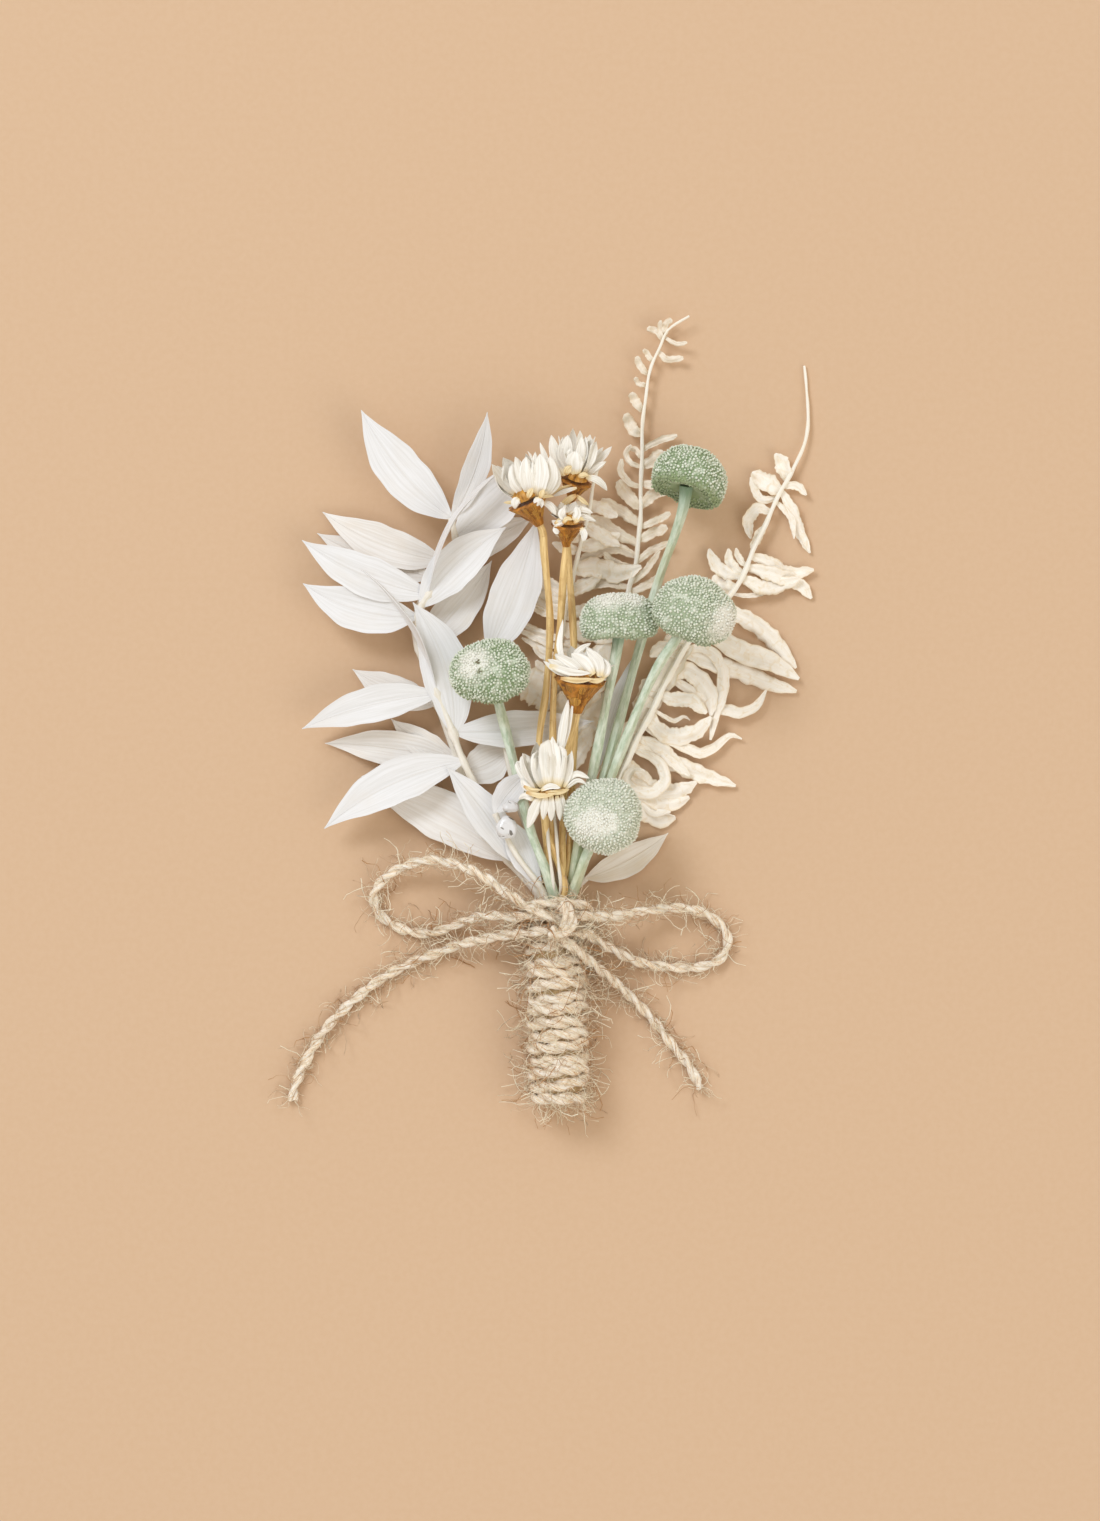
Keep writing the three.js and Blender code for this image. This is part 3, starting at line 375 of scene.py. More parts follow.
class Tree:
    """A node tree, and the nodes that finishes and forms are drawn with.

    A value is a number, a vector or the output that feeds it, and a colour is an sRGB hex value or
    the output that feeds it.
    """

    TONE_STEP = 37.0  # how far apart two forms lie in the noise, by their tones

    def __init__(self, tree: bpy.types.NodeTree) -> None:
        """Takes up a tree of the scene's."""
        self.tree = tree

    def add(
        self, kind: str, inputs: dict[str | int, object] | None = None, **settings: object
    ) -> bpy.types.Node:
        """Adds a node.

        Args:
            kind: the node's type.
            inputs: a value for each socket, by its name or number.
            **settings: the node's own properties.

        Returns:
            The node.
        """
        made = self.tree.nodes.new(kind)
        for key, value in settings.items():
            setattr(made, key, value)
        for key, value in (inputs or {}).items():
            if isinstance(value, bpy.types.NodeSocket):
                self.tree.links.new(value, made.inputs[key])
            else:
                made.inputs[key].default_value = value
        return made

    def out(self, kind: str, inputs: dict[str | int, object] | None = None, **settings: object) -> Socket:
        """The first output of a node that it adds."""
        return self.add(kind, inputs, **settings).outputs[0]

    def math(self, operation: str, *values: object) -> Socket:
        """An operation on numbers."""
        return self.out("ShaderNodeMath", dict(enumerate(values)), operation=operation)

    def spread(
        self, value: Socket, low: float, high: float, to_low: float = 0.0, to_high: float = 1.0
    ) -> Socket:
        """A value's range brought to another, and held inside it."""
        limits = {"Value": value, "From Min": low, "From Max": high, "To Min": to_low, "To Max": to_high}
        return self.out("ShaderNodeMapRange", limits)

    def mix(self, share: Socket, low: str | Socket, high: str | Socket) -> Socket:
        """A colour between two by a share."""
        low, high = (linear(colour) if isinstance(colour, str) else colour for colour in (low, high))
        return self.add("ShaderNodeMix", {0: share, 6: low, 7: high}, data_type="RGBA").outputs[2]

    def stain(self, low: str | Socket, high: str | Socket, value: Socket, *limits: float) -> Socket:
        """A colour that goes over into another as a value runs through the limits of spread."""
        return self.mix(self.spread(value, *limits), low, high)

    def noise(
        self,
        vector: Socket | None,
        scale: float,
        detail: float,
        roughness: float = 0.5,
        distortion: float = 0.0,
    ) -> Socket:
        """Noise about 0.5 at a vector, or at the place itself."""
        inputs = {"Scale": scale, "Detail": detail, "Roughness": roughness, "Distortion": distortion}
        if vector is not None:
            inputs["Vector"] = vector
        return self.out("ShaderNodeTexNoise", inputs)

    def clouds(self, scale: float, detail: float, distortion: float = 0.0) -> Socket:
        """Noise in the object's own space."""
        place = self.add("ShaderNodeTexCoord").outputs["Object"]
        return self.noise(place, scale, detail, distortion=distortion)

    def surface(self, index: int) -> Socket:
        """The piece's own surface coordinate: 0 for the one along it, 1 for the one across."""
        marks = self.out("ShaderNodeUVMap", uv_map="surface")
        return self.add("ShaderNodeSeparateXYZ", {0: marks}).outputs[index]

    def read(self, name: str) -> Socket:
        """A number that the mesh stores."""
        return self.add("ShaderNodeAttribute", attribute_name=name).outputs["Fac"]

    def streaks(
        self,
        along: float,
        across: float,
        detail: float = 3.0,
        roughness: float = 0.6,
        distortion: float = 0.0,
    ) -> Socket:
        """Noise stretched over the piece's own surface, other for each tone so that no two forms match.

        Args:
            along: scale of the coordinate along the form.
            across: scale of the one across it.
            detail: the noise's detail.
            roughness: the noise's roughness.
            distortion: the noise's distortion.

        Returns:
            The noise.
        """
        x = self.math("MULTIPLY", self.surface(0), along)
        y = self.math("MULTIPLY", self.surface(1), across)
        z = self.math("MULTIPLY", self.read("tone"), self.TONE_STEP)
        vector = self.out("ShaderNodeCombineXYZ", {0: x, 1: y, 2: z})
        return self.noise(vector, 1.0, detail, roughness, distortion)

    def skin(
        self,
        colour: Socket,
        roughness: Socket | float,
        bump: tuple[float, float, Socket] | None = None,
        **more: float,
    ) -> Socket:
        """A principled shader.

        Args:
            colour: its base colour.
            roughness: its roughness.
            bump: strength, height in millimetres and course of its bumps, if it has any.
            **more: other inputs, with _ for each blank in a name.

        Returns:
            The shader.
        """
        inputs = {key.replace("_", " "): value for key, value in more.items()}
        if bump is not None:
            strength, height, course = bump
            bumps = {"Strength": strength, "Distance": height * MM, "Height": course}
            inputs["Normal"] = self.out("ShaderNodeBump", bumps)
        return self.out("ShaderNodeBsdfPrincipled", {"Base Color": colour, "Roughness": roughness, **inputs})


class GeometryTree(Tree):
    """A geometry tree with named inputs, the last of them its finish."""

    def __init__(self, name: str, numbers: Sequence[str], counts: Sequence[str]) -> None:
        """Starts a tree.

        Args:
            name: its name.
            numbers: the names of its number inputs.
            counts: the names of its whole number inputs.
        """
        super().__init__(bpy.data.node_groups.new(name, "GeometryNodeTree"))
        sockets = [("Geometry", "Geometry"), *[(label, "Float") for label in numbers]]
        sockets += [*[(label, "Int") for label in counts], ("Finish", "Material")]
        face = self.tree.interface
        for label, kind in sockets:
            face.new_socket(label, in_out="INPUT", socket_type="NodeSocket" + kind)
        face.new_socket("Geometry", in_out="OUTPUT", socket_type="NodeSocketGeometry")
        self.given = self.add("NodeGroupInput").outputs

    def store(
        self, geometry: Socket, name: str, value: Socket, kind: str = "FLOAT", domain: str = "POINT"
    ) -> Socket:
        """The geometry with a value stored in it under a name."""
        inputs = {"Geometry": geometry, "Name": name, "Value": value}
        return self.out("GeometryNodeStoreNamedAttribute", inputs, data_type=kind, domain=domain)

    def random(self, low: Socket | float, high: Socket | float, seed: int) -> Socket:
        """A random number for each element."""
        inputs = {2: low, 3: high, "Seed": seed}
        return self.add("FunctionNodeRandomValue", inputs, data_type="FLOAT").outputs[1]

    def scaled(self, vector: Socket, scale: Socket) -> Socket:
        """A vector times a number."""
        return self.out("ShaderNodeVectorMath", {0: vector, "Scale": scale}, operation="SCALE")

    def moved(self, geometry: Socket, offset: Socket) -> Socket:
        """The geometry with its points moved."""
        return self.out("GeometryNodeSetPosition", {"Geometry": geometry, "Offset": offset})

    def swept(self, curve: Socket, radius: Socket, profile: Socket) -> Socket:
        """A closed tube: a profile, scaled by a radius, drawn along a curve."""
        thick = self.out("GeometryNodeSetCurveRadius", {"Curve": curve, "Radius": radius})
        sweep = {"Curve": thick, "Profile Curve": profile, "Fill Caps": True}
        return self.out("GeometryNodeCurveToMesh", sweep)

    def planted(self, spots: bpy.types.Node, form: Socket, tilt: Socket, scale: Socket, seed: int) -> Socket:
        """A form stood on each spot, tilted and scaled, with a random tone.

        Args:
            spots: the node that spreads the spots.
            form: what stands on each.
            tilt: the turn of each, as angles about its own axes.
            scale: the size of each.
            seed: for the tones.

        Returns:
            The instances.
        """
        leaning = self.out("FunctionNodeEulerToRotation", {0: tilt})
        turns = {"Rotation": spots.outputs["Rotation"], "Rotate By": leaning}
        inputs = {
            "Points": spots.outputs["Points"],
            "Instance": form,
            "Rotation": self.out("FunctionNodeRotateRotation", turns, rotation_space="LOCAL"),
            "Scale": scale,
        }
        placed = self.out("GeometryNodeInstanceOnPoints", inputs)
        return self.store(placed, "tone", self.random(0.0, 1.0, seed), domain="INSTANCE")

    def close(self, source: Socket) -> GeometryTree:
        """Ends the tree: the geometry made real, in its finish.

        Args:
            source: the geometry.

        Returns:
            The tree itself.
        """
        real = self.out("GeometryNodeRealizeInstances", {"Geometry": source})
        dressed = self.out("GeometryNodeSetMaterial", {"Geometry": real, "Material": self.given["Finish"]})
        self.add("NodeGroupOutput", {"Geometry": dressed})
        return self

    def run(self, name: str, seed_mesh: bpy.types.Mesh, values: dict[str, object]) -> bpy.types.Object:
        """Runs the tree over a mesh and keeps the result as a plain mesh.

        Args:
            name: the new object's name.
            seed_mesh: what the tree starts from.
            values: a value for each named input.

        Returns:
            The object, with no modifier left on it.
        """
        seed = linked(name + "_seed", seed_mesh)
        modifier = seed.modifiers.new("nodes", "NODES")
        modifier.node_group = self.tree
        for item in self.tree.interface.items_tree:
            if item.item_type == "SOCKET" and item.in_out == "INPUT" and item.name in values:
                modifier[item.identifier] = values[item.name]
        graph = bpy.context.evaluated_depsgraph_get()
        result = seed.evaluated_get(graph)
        mesh = bpy.data.meshes.new_from_object(result, preserve_all_data_layers=True, depsgraph=graph)
        seed.modifiers.remove(modifier)
        bpy.data.objects.remove(seed)
        mesh.name = name
        mesh.shade_smooth()
        return linked(name, mesh)


def polyline_mesh(name: str, lines: Sequence[Array]) -> bpy.types.Mesh:
    """Lines in millimetres as the edges of one mesh in metres."""
    mesh = bpy.data.meshes.new(name)
    points, edges = [], []
    for line in lines:
        start = len(points)
        points += (line * MM).tolist()
        edges += [(start + i, start + i + 1) for i in range(len(line) - 1)]
    mesh.from_pydata(points, edges, [])
    return mesh


@dataclass(frozen=True)
class Fuzz:
    """Loose hairs: how many for each square millimetre, their longest and half their thickness, how far
    they lean from straight out (radians), and how far they wave aside."""

    crowd: float
    length: float
    radius: float = 0.05
    lean: tuple[float, float] = (0.2, 1.3)
    curl: float = 2.6


STANDING_FUZZ = Fuzz(0.6, 6.2, 0.07)
LYING_FUZZ = Fuzz(1.0, 3.0, 0.05, (1.1, 1.45), 1.2)


class TwineMaker:
    """Lays two jute plies along a line, and raises loose hairs from them."""

    STEP = 0.42
    SIDES = 10
    UNEVENNESS = 0.18
    FLOOR = 0.1  # hairs that would dip under this height are bent up again

    def __init__(self, ply: Material, hair: Material) -> None:
        """Builds both trees once, and keeps the materials of plies and hairs."""
        self.ply, self.hair = ply, hair
        self.plies, self.fuzz = self.ply_tree(), self.fuzz_tree()

    def ply_tree(self) -> GeometryTree:
        """The tree that turns a line into two plies laid round each other.

        Returns:
            The tree. It stores the distance along each ply and the place round it.
        """
        numbers = ("Ply radius", "Ply offset", "Lay length", "Step", "Unevenness")
        tree = GeometryTree("laid_plies", numbers, ["Sides"])
        given = tree.given
        curve = tree.out("GeometryNodeMeshToCurve", {"Mesh": given["Geometry"]})
        even = tree.out("GeometryNodeResampleCurve", {"Curve": curve, "Length": given["Step"]}, mode="LENGTH")
        distance = tree.add("GeometryNodeSplineParameter").outputs["Length"]
        angle = tree.math("MULTIPLY", tree.math("DIVIDE", distance, given["Lay length"]), 2 * math.pi)
        uneven = tree.noise(tree.out("GeometryNodeInputPosition"), 420.0, 1.0)
        swell = tree.spread(uneven, 0.3, 0.7, 0.86, 1.14)
        size = {"Resolution": given["Sides"], "Radius": given["Ply radius"]}
        circle = tree.out("GeometryNodeCurvePrimitiveCircle", size)
        rim = {0: tree.out("GeometryNodeInputPosition")}
        direction = tree.out("ShaderNodeVectorMath", rim, operation="NORMALIZE")
        profile = tree.store(circle, "ring", direction, "FLOAT_VECTOR")
        kept = tree.store(even, "along", distance)
        joined = tree.add("GeometryNodeJoinGeometry")
        for ply in range(2):
            wind = {
                "Vector": tree.out("GeometryNodeInputNormal"),
                "Axis": tree.out("GeometryNodeInputTangent"),
                "Angle": tree.math("ADD", angle, ply * math.pi),
            }
            side = tree.out("ShaderNodeVectorRotate", wind, rotation_type="AXIS_ANGLE")
            laid = tree.moved(kept, tree.scaled(side, given["Ply offset"]))
            tree.tree.links.new(tree.swept(laid, swell, profile), joined.inputs[0])
        rough = tree.math("SUBTRACT", tree.noise(None, 1500.0, 2.0), 0.5)
        amount = tree.math("MULTIPLY", rough, given["Unevenness"])
        push = tree.scaled(tree.out("GeometryNodeInputNormal"), amount)
        return tree.close(tree.moved(joined.outputs[0], push))

    def fuzz_tree(self) -> GeometryTree:
        """The tree that raises fine curved hairs from a surface.

        Returns:
            The tree.
        """
        numbers = ("Hairs per square metre", "Hair length", "Hair radius", "Least lean", "Most lean", "Curl")
        tree = GeometryTree("loose_hairs", numbers, ["Seed"])
        given = tree.given
        crowd = {
            "Mesh": given["Geometry"],
            "Density": given["Hairs per square metre"],
            "Seed": given["Seed"],
        }
        spots = tree.add("GeometryNodeDistributePointsOnFaces", crowd, distribute_method="RANDOM")
        bend = {"Resolution": 7, "Start": (0, 0, 0), "Middle": (0.05, 0, 0.6), "End": (0.7, 0, 0.62)}
        slim = tree.math("DIVIDE", given["Hair radius"], given["Hair length"])
        taper = tree.spread(tree.add("GeometryNodeSplineParameter").outputs["Factor"], 0.0, 1.0, 1.0, 0.35)
        hair = tree.swept(
            tree.out("GeometryNodeCurveQuadraticBezier", bend),
            taper,
            tree.out("GeometryNodeCurvePrimitiveCircle", {"Resolution": 3, "Radius": slim}),
        )
        lean, spin = tree.random(given["Least lean"], given["Most lean"], 3), tree.random(0.0, 2 * math.pi, 4)
        size = tree.math("MULTIPLY", tree.random(0.25, 1.0, 7), given["Hair length"])
        hairs = tree.planted(spots, hair, tree.out("ShaderNodeCombineXYZ", {0: lean, 2: spin}), size, 19)
        real = tree.out("GeometryNodeRealizeInstances", {"Geometry": hairs})
        wave = tree.add("ShaderNodeTexNoise", {"Scale": 330.0, "Detail": 1.0}).outputs["Color"]
        centred = tree.out("ShaderNodeVectorMath", {0: wave, 1: (0.5, 0.5, 0.5)}, operation="SUBTRACT")
        waved = tree.moved(real, tree.scaled(centred, given["Curl"]))
        place = tree.add("ShaderNodeSeparateXYZ", {0: tree.out("GeometryNodeInputPosition")}).outputs
        floor = self.FLOOR * MM
        height = tree.math("ADD", tree.math("ABSOLUTE", tree.math("SUBTRACT", place[2], floor)), floor)
        rested = tree.out("ShaderNodeCombineXYZ", {0: place[0], 1: place[1], 2: height})
        return tree.close(tree.out("GeometryNodeSetPosition", {"Geometry": waved, "Position": rested}))

    def raised(self, name: str, twine: bpy.types.Object, fuzz: Fuzz, seed: int) -> bpy.types.Object:
        """Loose hairs over a piece of twine."""
        values = {
            "Hairs per square metre": fuzz.crowd / MM**2,
            "Hair length": fuzz.length * MM,
            "Hair radius": fuzz.radius * MM,
            "Least lean": fuzz.lean[0],
            "Most lean": fuzz.lean[1],
            "Curl": fuzz.curl * MM,
            "Seed": seed,
            "Finish": self.hair,
        }
        return settle(self.fuzz.run(name, twine.data.copy(), values), "jute")

    def lay(
        self,
        name: str,
        solid: str,
        lines: Sequence[Array],
        seed: int,
        plies: Point = (0.54, 0.44, 7.6),
        fuzz: Fuzz = STANDING_FUZZ,
        nap: Fuzz = LYING_FUZZ,
        label: str = "",
    ) -> list[bpy.types.Object]:
        """Lays twine along lines in place of a solid, and raises its hairs and its nap.

        Args:
            name: the twine's name.
            solid: the solid that it stands for.
            lines: one array of places for each stretch.
            seed: for the places of the hairs.
            plies: their radius, how far their middles lie from the twine's, and the length of a turn.
            fuzz: the standing hairs.
            nap: the lying ones.
            label: what the hairs are called after, where it isn't the twine's name.

        Returns:
            The twine, its hairs and its nap.
        """
        radius, offset, turn = plies
        values = {
            "Ply radius": radius * MM,
            "Ply offset": offset * MM,
            "Lay length": turn * MM,
            "Step": self.STEP * MM,
            "Sides": self.SIDES,
            "Unevenness": self.UNEVENNESS * MM,
            "Finish": self.ply,
        }
        twine = settle(self.plies.run(name, polyline_mesh(name, lines), values), "jute", solid)
        label = label or name
        hairs = self.raised("hairs_" + label, twine, fuzz, seed)
        return [twine, hairs, self.raised("nap_" + label, twine, nap, seed + 50)]


# ------------------------------------------------------------------ finishes


@dataclass(frozen=True)
class Finish:
    """A finish that a material is made from."""

    name: str

    def make(self) -> Material:
        """The material."""
        material = bpy.data.materials.new(self.name)
        material.use_nodes = True
        material.node_tree.nodes.clear()
        tree = Tree(material.node_tree)
        tree.add("ShaderNodeOutputMaterial", {"Surface": self.surface(tree)})
        return material

    def surface(self, tree: Tree) -> Socket:
        """The shader, which each finish draws in its own way."""
        raise NotImplementedError


@dataclass(frozen=True)
class BleachedLeaf(Finish):
    """Ruscus leaf, bleached and dried: matt white with fine veins that run from root to tip."""

    light: str = "f0f0f0"
    shade: str = "e1e0dd"
    # the colour of the warm clouds, and of the painted shade along the midrib
    warm: str = "e7e2da"

    def surface(self, tree: Tree) -> Socket:
        """Veins about 0.35 mm apart on a leaf 8 mm wide, a raised midrib with painted shade along it, and
        soft warm clouds.
        """
        veins = tree.streaks(0.09, 9.0)
        clouds = tree.streaks(0.16, 0.9, 2.0, 0.5)
        rib = tree.spread(tree.math("ABSOLUTE", tree.surface(1)), 0.0, 0.07, 1.0, 0.0)
        colour = tree.stain(self.light, self.shade, veins, 0.35, 0.62, 0.75, 0.0)
        colour = tree.stain(colour, self.warm, clouds, 0.5, 0.75, 0.0, 0.5)
        # painted shade: a warm stain along the midrib's fold
        colour = tree.stain(colour, self.warm, rib, 0.0, 1.0, 0.0, 0.35)
        bump = (0.55, 0.09, tree.math("MULTIPLY_ADD", rib, 1.2, veins))
        return tree.skin(colour, tree.spread(veins, 0.3, 0.7, 0.46, 0.64), bump, IOR=1.42)


@dataclass(frozen=True)
class BleachedStem(Finish):
    """Bleached woody stem: cream, with faint grooves along it and darker specks scattered over it."""

    light: str = "f7f3e9"
    shade: str = "e3d8c0"
    roughness: float = 0.55

    def surface(self, tree: Tree) -> Socket:
        """Grooves about 0.3 mm apart round a stem of 1 mm."""
        grooves = tree.streaks(0.25, 9.0)
        specks = tree.streaks(0.9, 2.0, 3.0, 0.5)
        colour = tree.stain(self.light, self.shade, grooves, 0.35, 0.65, 0.6, 0.0)
        colour = tree.stain(colour, self.shade, specks, 0.6, 0.75, 0.0, 0.5)
        return tree.skin(colour, self.roughness, (0.6, 0.12, grooves), IOR=1.45)


@dataclass(frozen=True)
class PaperyFern(Finish):
    """Fern leaflet, bleached and dried to thin parchment: cream, streaked, tan where it is torn or curled."""

    light: str = "fffaf0"
    middle: str = "faf0de"
    tan: str = "e8d0a2"

    def surface(self, tree: Tree) -> Socket:
        """Streaks about 0.3 mm apart, wrinkles of 1 to 2 mm, and darker edges."""
        streaks = tree.streaks(0.3, 4.0, 3.0, 0.65)
        wrinkles = tree.streaks(0.9, 1.3, 3.0, 0.5, 0.6)
        away = tree.math("ABSOLUTE", tree.surface(1))
        colour = tree.stain(self.light, self.middle, streaks, 0.35, 0.65, 0.9, 0.0)
        colour = tree.stain(colour, self.tan, wrinkles, 0.52, 0.74, 0.0, 0.55)
        colour = tree.stain(colour, self.tan, away, 0.8, 1.0, 0.0, 0.5)
        bump = (0.35, 0.1, tree.math("MULTIPLY_ADD", wrinkles, 2.2, streaks))
        return tree.skin(colour, tree.spread(streaks, 0.3, 0.7, 0.36, 0.58), bump, IOR=1.42)


@dataclass(frozen=True)
class SageWool(Finish):
    """Packed dry florets of a button flower, dyed sage and woolly, with a painted highlight at their tips and
    painted shade between them.
    """

    shade_at_floret_foot: str = "8fa37b"
    body: str = "c8d5b8"
    # the painted highlight at the florets' tips, also the colour of their paler clouds
    tip: str = "f1f5e8"
    patch: str = "f8f7ee"
    olive: str = "93a374"
    # painted shade in the holes between the florets
    hole: str = "6d5c3e"

    def surface(self, tree: Tree) -> Socket:
        """Colour from painted shade at a floret's foot to a painted highlight at its tip, shifted by its
        random tone, with pale patches, painted dark shade in the holes and an olive underside.
        """
        low = tree.read("low")
        # painted shade at each floret's foot and a painted highlight at its tip, from its height, mixed with
        # its random tone
        rise = tree.math("MULTIPLY_ADD", tree.read("tone"), 0.75, tree.read("tip"))
        share = tree.spread(rise, 0.15, 1.5)
        colour = tree.stain(self.shade_at_floret_foot, self.body, share, 0.0, 0.5)
        colour = tree.stain(colour, self.tip, share, 0.5, 1.0, 0.0, 0.9)
        colour = tree.stain(colour, self.tip, tree.clouds(760.0, 3.0), 0.5, 0.66, 0.0, 0.6)
        colour = tree.stain(colour, self.olive, low, 0.3, 1.0, 0.0, 0.85)
        colour = tree.stain(colour, self.patch, tree.read("pale"), 0.0, 1.0, 0.0, 0.9)
        # painted shade: dark brown where the head has a hole
        colour = tree.stain(colour, self.hole, low, 1.1, 1.9, 0.0, 0.9)
        return tree.skin(colour, 0.92, Sheen_Weight=0.25, Sheen_Roughness=0.6, Specular_IOR_Level=0.25)


@dataclass(frozen=True)
class SageStem(Finish):
    """Stem of a button flower, dyed with the head: ribbed and chalky, darker where it meets the head."""

    light: str = "e4eddb"
    shade: str = "bccdb1"
    dark: str = "698b6f"
    olive: str = "d0d0a4"

    def surface(self, tree: Tree) -> Socket:
        """Ribs about 0.4 mm apart along the stem; the tone runs from 0 at the wrap to 1 at the head."""
        ribs = tree.streaks(0.12, 7.0)
        colour = tree.stain(self.shade, self.light, ribs, 0.36, 0.64)
        colour = tree.stain(colour, self.olive, tree.clouds(120.0, 2.0), 0.52, 0.7, 0.0, 0.5)
        colour = tree.stain(colour, self.dark, tree.read("tone"), 0.95, 1.0, 0.0, 0.8)
        return tree.skin(colour, 0.72, (0.7, 0.15, ribs), Specular_IOR_Level=0.35)


@dataclass(frozen=True)
class PaperyBract(Finish):
    """Bract of an everlasting daisy: dry, satin and white, finely striped, yellow at its root."""

    light: str = "fffdf6"
    shade: str = "e7e1d1"
    root: str = "efd48c"

    def surface(self, tree: Tree) -> Socket:
        """Stripes about 0.25 mm apart; the first surface coordinate runs from 0 at the root to 1."""
        stripes = tree.streaks(1.2, 5.0)
        colour = tree.stain(self.light, self.shade, stripes, 0.35, 0.62, 0.8, 0.0)
        colour = tree.stain(colour, self.root, tree.surface(0), 0.04, 0.24, 0.7, 0.0)
        roughness = tree.spread(stripes, 0.3, 0.7, 0.32, 0.5)
        return tree.skin(colour, roughness, (0.5, 0.08, stripes), IOR=1.46)


@dataclass(frozen=True)
class AmberScale(Finish):
    """Dried cup and its scales: amber to brown, with dark folds and a golden rim, slightly glossy."""

    gold: str = "e9ae4c"
    amber: str = "c37c22"
    brown: str = "6c3c0c"

    def surface(self, tree: Tree) -> Socket:
        """Folds about 0.5 mm apart along the cup; the tone sets each scale's lightness."""
        folds = tree.streaks(0.4, 8.0)
        colour = tree.mix(tree.read("tone"), self.amber, self.gold)
        colour = tree.stain(colour, self.brown, folds, 0.36, 0.6, 0.9, 0.0)
        return tree.skin(colour, 0.42, (0.8, 0.2, folds), IOR=1.48)


@dataclass(frozen=True)
class JutePly(Finish):
    """Ply of jute twine: spun bast fibres, straw coloured, with a low silky gloss along the fibres and
    painted brown shade where it faces away from the front.
    """

    light: str = "fffaee"
    body: str = "fbe7c6"
    dark: str = "c48e52"
    # painted shade on the faces that turn away from the front
    low: str = "a56e38"
    winding: float = 9.0  # millimetres in which a fibre goes once round the ply

    def surface(self, tree: Tree) -> Socket:
        """Fibres about 0.15 mm wide, wound round the ply, drawn from where a point lies round it, and painted
        brown shade on the faces that turn away from the front.
        """
        along = tree.read("along")
        ring = tree.add("ShaderNodeAttribute", attribute_name="ring").outputs["Vector"]
        wind = tree.math("MULTIPLY", along, -2 * math.pi / (self.winding * MM))
        wound = tree.out("ShaderNodeVectorRotate", {"Vector": ring, "Angle": wind}, rotation_type="Z_AXIS")
        place = tree.add("ShaderNodeSeparateXYZ", {0: wound}).outputs
        run = tree.math("MULTIPLY", along, 150.0)
        vector = tree.out("ShaderNodeCombineXYZ", {0: place[0], 1: place[1], 2: run})
        fibres = tree.noise(vector, 3.4, 4.0, 0.7)
        colour = tree.stain(self.dark, self.body, fibres, 0.34, 0.43)
        colour = tree.stain(colour, self.light, fibres, 0.46, 0.55)
        colour = tree.stain(colour, self.light, tree.clouds(260.0, 2.0), 0.45, 0.75, 0.0, 0.5)
        # painted shade: brown where the surface turns away from the front, as far as half way
        normal = tree.add("ShaderNodeTexCoord").outputs["Normal"]
        facing = tree.add("ShaderNodeSeparateXYZ", {0: normal}).outputs[2]
        colour = tree.stain(colour, self.low, facing, 0.0, 0.6, 0.5, 0.0)
        return tree.skin(colour, 0.46, (0.7, 0.2, fibres), Sheen_Weight=0.2, Sheen_Roughness=0.4)


@dataclass(frozen=True)
class JuteHair(Finish):
    """Loose bast fibres that stand off the twine: thin, golden and slightly glossy."""

    light: str = "fff6dc"
    dark: str = "b87f41"

    def surface(self, tree: Tree) -> Socket:
        """One tone for each hair."""
        return tree.skin(tree.stain(self.dark, self.light, tree.read("tone"), 0.0, 0.6), 0.4)


@dataclass(frozen=True)
class SetGlue(Finish):
    """Hot-melt glue, set: clear ethylene-vinyl acetate with a wavy skin, and dark refraction lines painted
    into its colour.
    """

    tint: str = "ffffff"
    painted_refraction_line: str = "7a756d"

    def surface(self, tree: Tree) -> Socket:
        """Waves of about 1 mm on the skin, with painted dark refraction lines in the hollows between them."""
        waves = tree.clouds(380.0, 2.0, 1.4)
        # painted reflection: grey-brown lines in the hollows stand in for dark refraction
        colour = tree.stain(self.tint, self.painted_refraction_line, waves, 0.37, 0.42, 1.0, 0.0)
        return tree.skin(colour, 0.1, (1.0, 0.4, waves), IOR=1.49, Transmission_Weight=0.3)


@dataclass(frozen=True)
class PaleTable(Finish):
    """The table under the bunch: plain, matt and pale."""

    colour: str = "d8b999"
    fibre: str = "c9a37a"

    def surface(self, tree: Tree) -> Socket:
        """A hardly visible fibre of about 0.6 mm, as uncoated board has."""
        colour = tree.stain(self.colour, self.fibre, tree.clouds(900.0, 3.0), 0.35, 0.65, 0.0, 0.12)
        return tree.skin(colour, 0.9, Specular_IOR_Level=0.2)


# ------------------------------------------------------------------ the handle


@dataclass(frozen=True)
class Handle:
    """The bound part that all the stems run through."""

    bottom: Place = (0.1, -71.0)
    top: Place = (-0.9, -35.0)
    axis_height: float = 4.9
    ridge: float = 5.6
    bore: float = 4.0
    pitch: float = 2.25
    across: float = 1.5
    down: float = 1.3

    def inside(self, slot: Place, y: float) -> list[float]:
        """Where a stem lies inside the wrap at a height y, by its column and row."""
        t = (y - self.bottom[1]) / (self.top[1] - self.bottom[1])
        x = blend(self.bottom[0], self.top[0], t) + slot[0] * self.across
        return [x, y, self.axis_height + slot[1] * self.down]

    def middle(self, heights: Array) -> Array:
        """The handle's own middle at heights y."""
        return np.array([self.inside((0, 0), y) for y in heights])

    def stem(self, slot: Place, points: Sequence[Sequence[float]]) -> Route:
        """A stem's whole route: straight through its slot in the wrap, then out along the points."""
        heights = (self.bottom[1] + 0.3, -54.0, self.top[1] - 1, self.top[1] + 0.7)
        return Route([*[self.inside(slot, y) for y in heights], *points])

    def over(self, degrees: float, y: float, gap: float = 0.3) -> list[float]:
        """A cord's middle on a circle round the handle, over the wrap: 0 degrees is straight in front."""
        reach, angle = self.ridge + gap + CORD_WIDTH / 2, math.radians(degrees)
        x, _, z = self.inside((0, 0), y)
        return [x + reach * math.sin(angle), y, z + reach * math.cos(angle)]


HANDLE = Handle()


# ------------------------------------------------------------------ camera, light and table


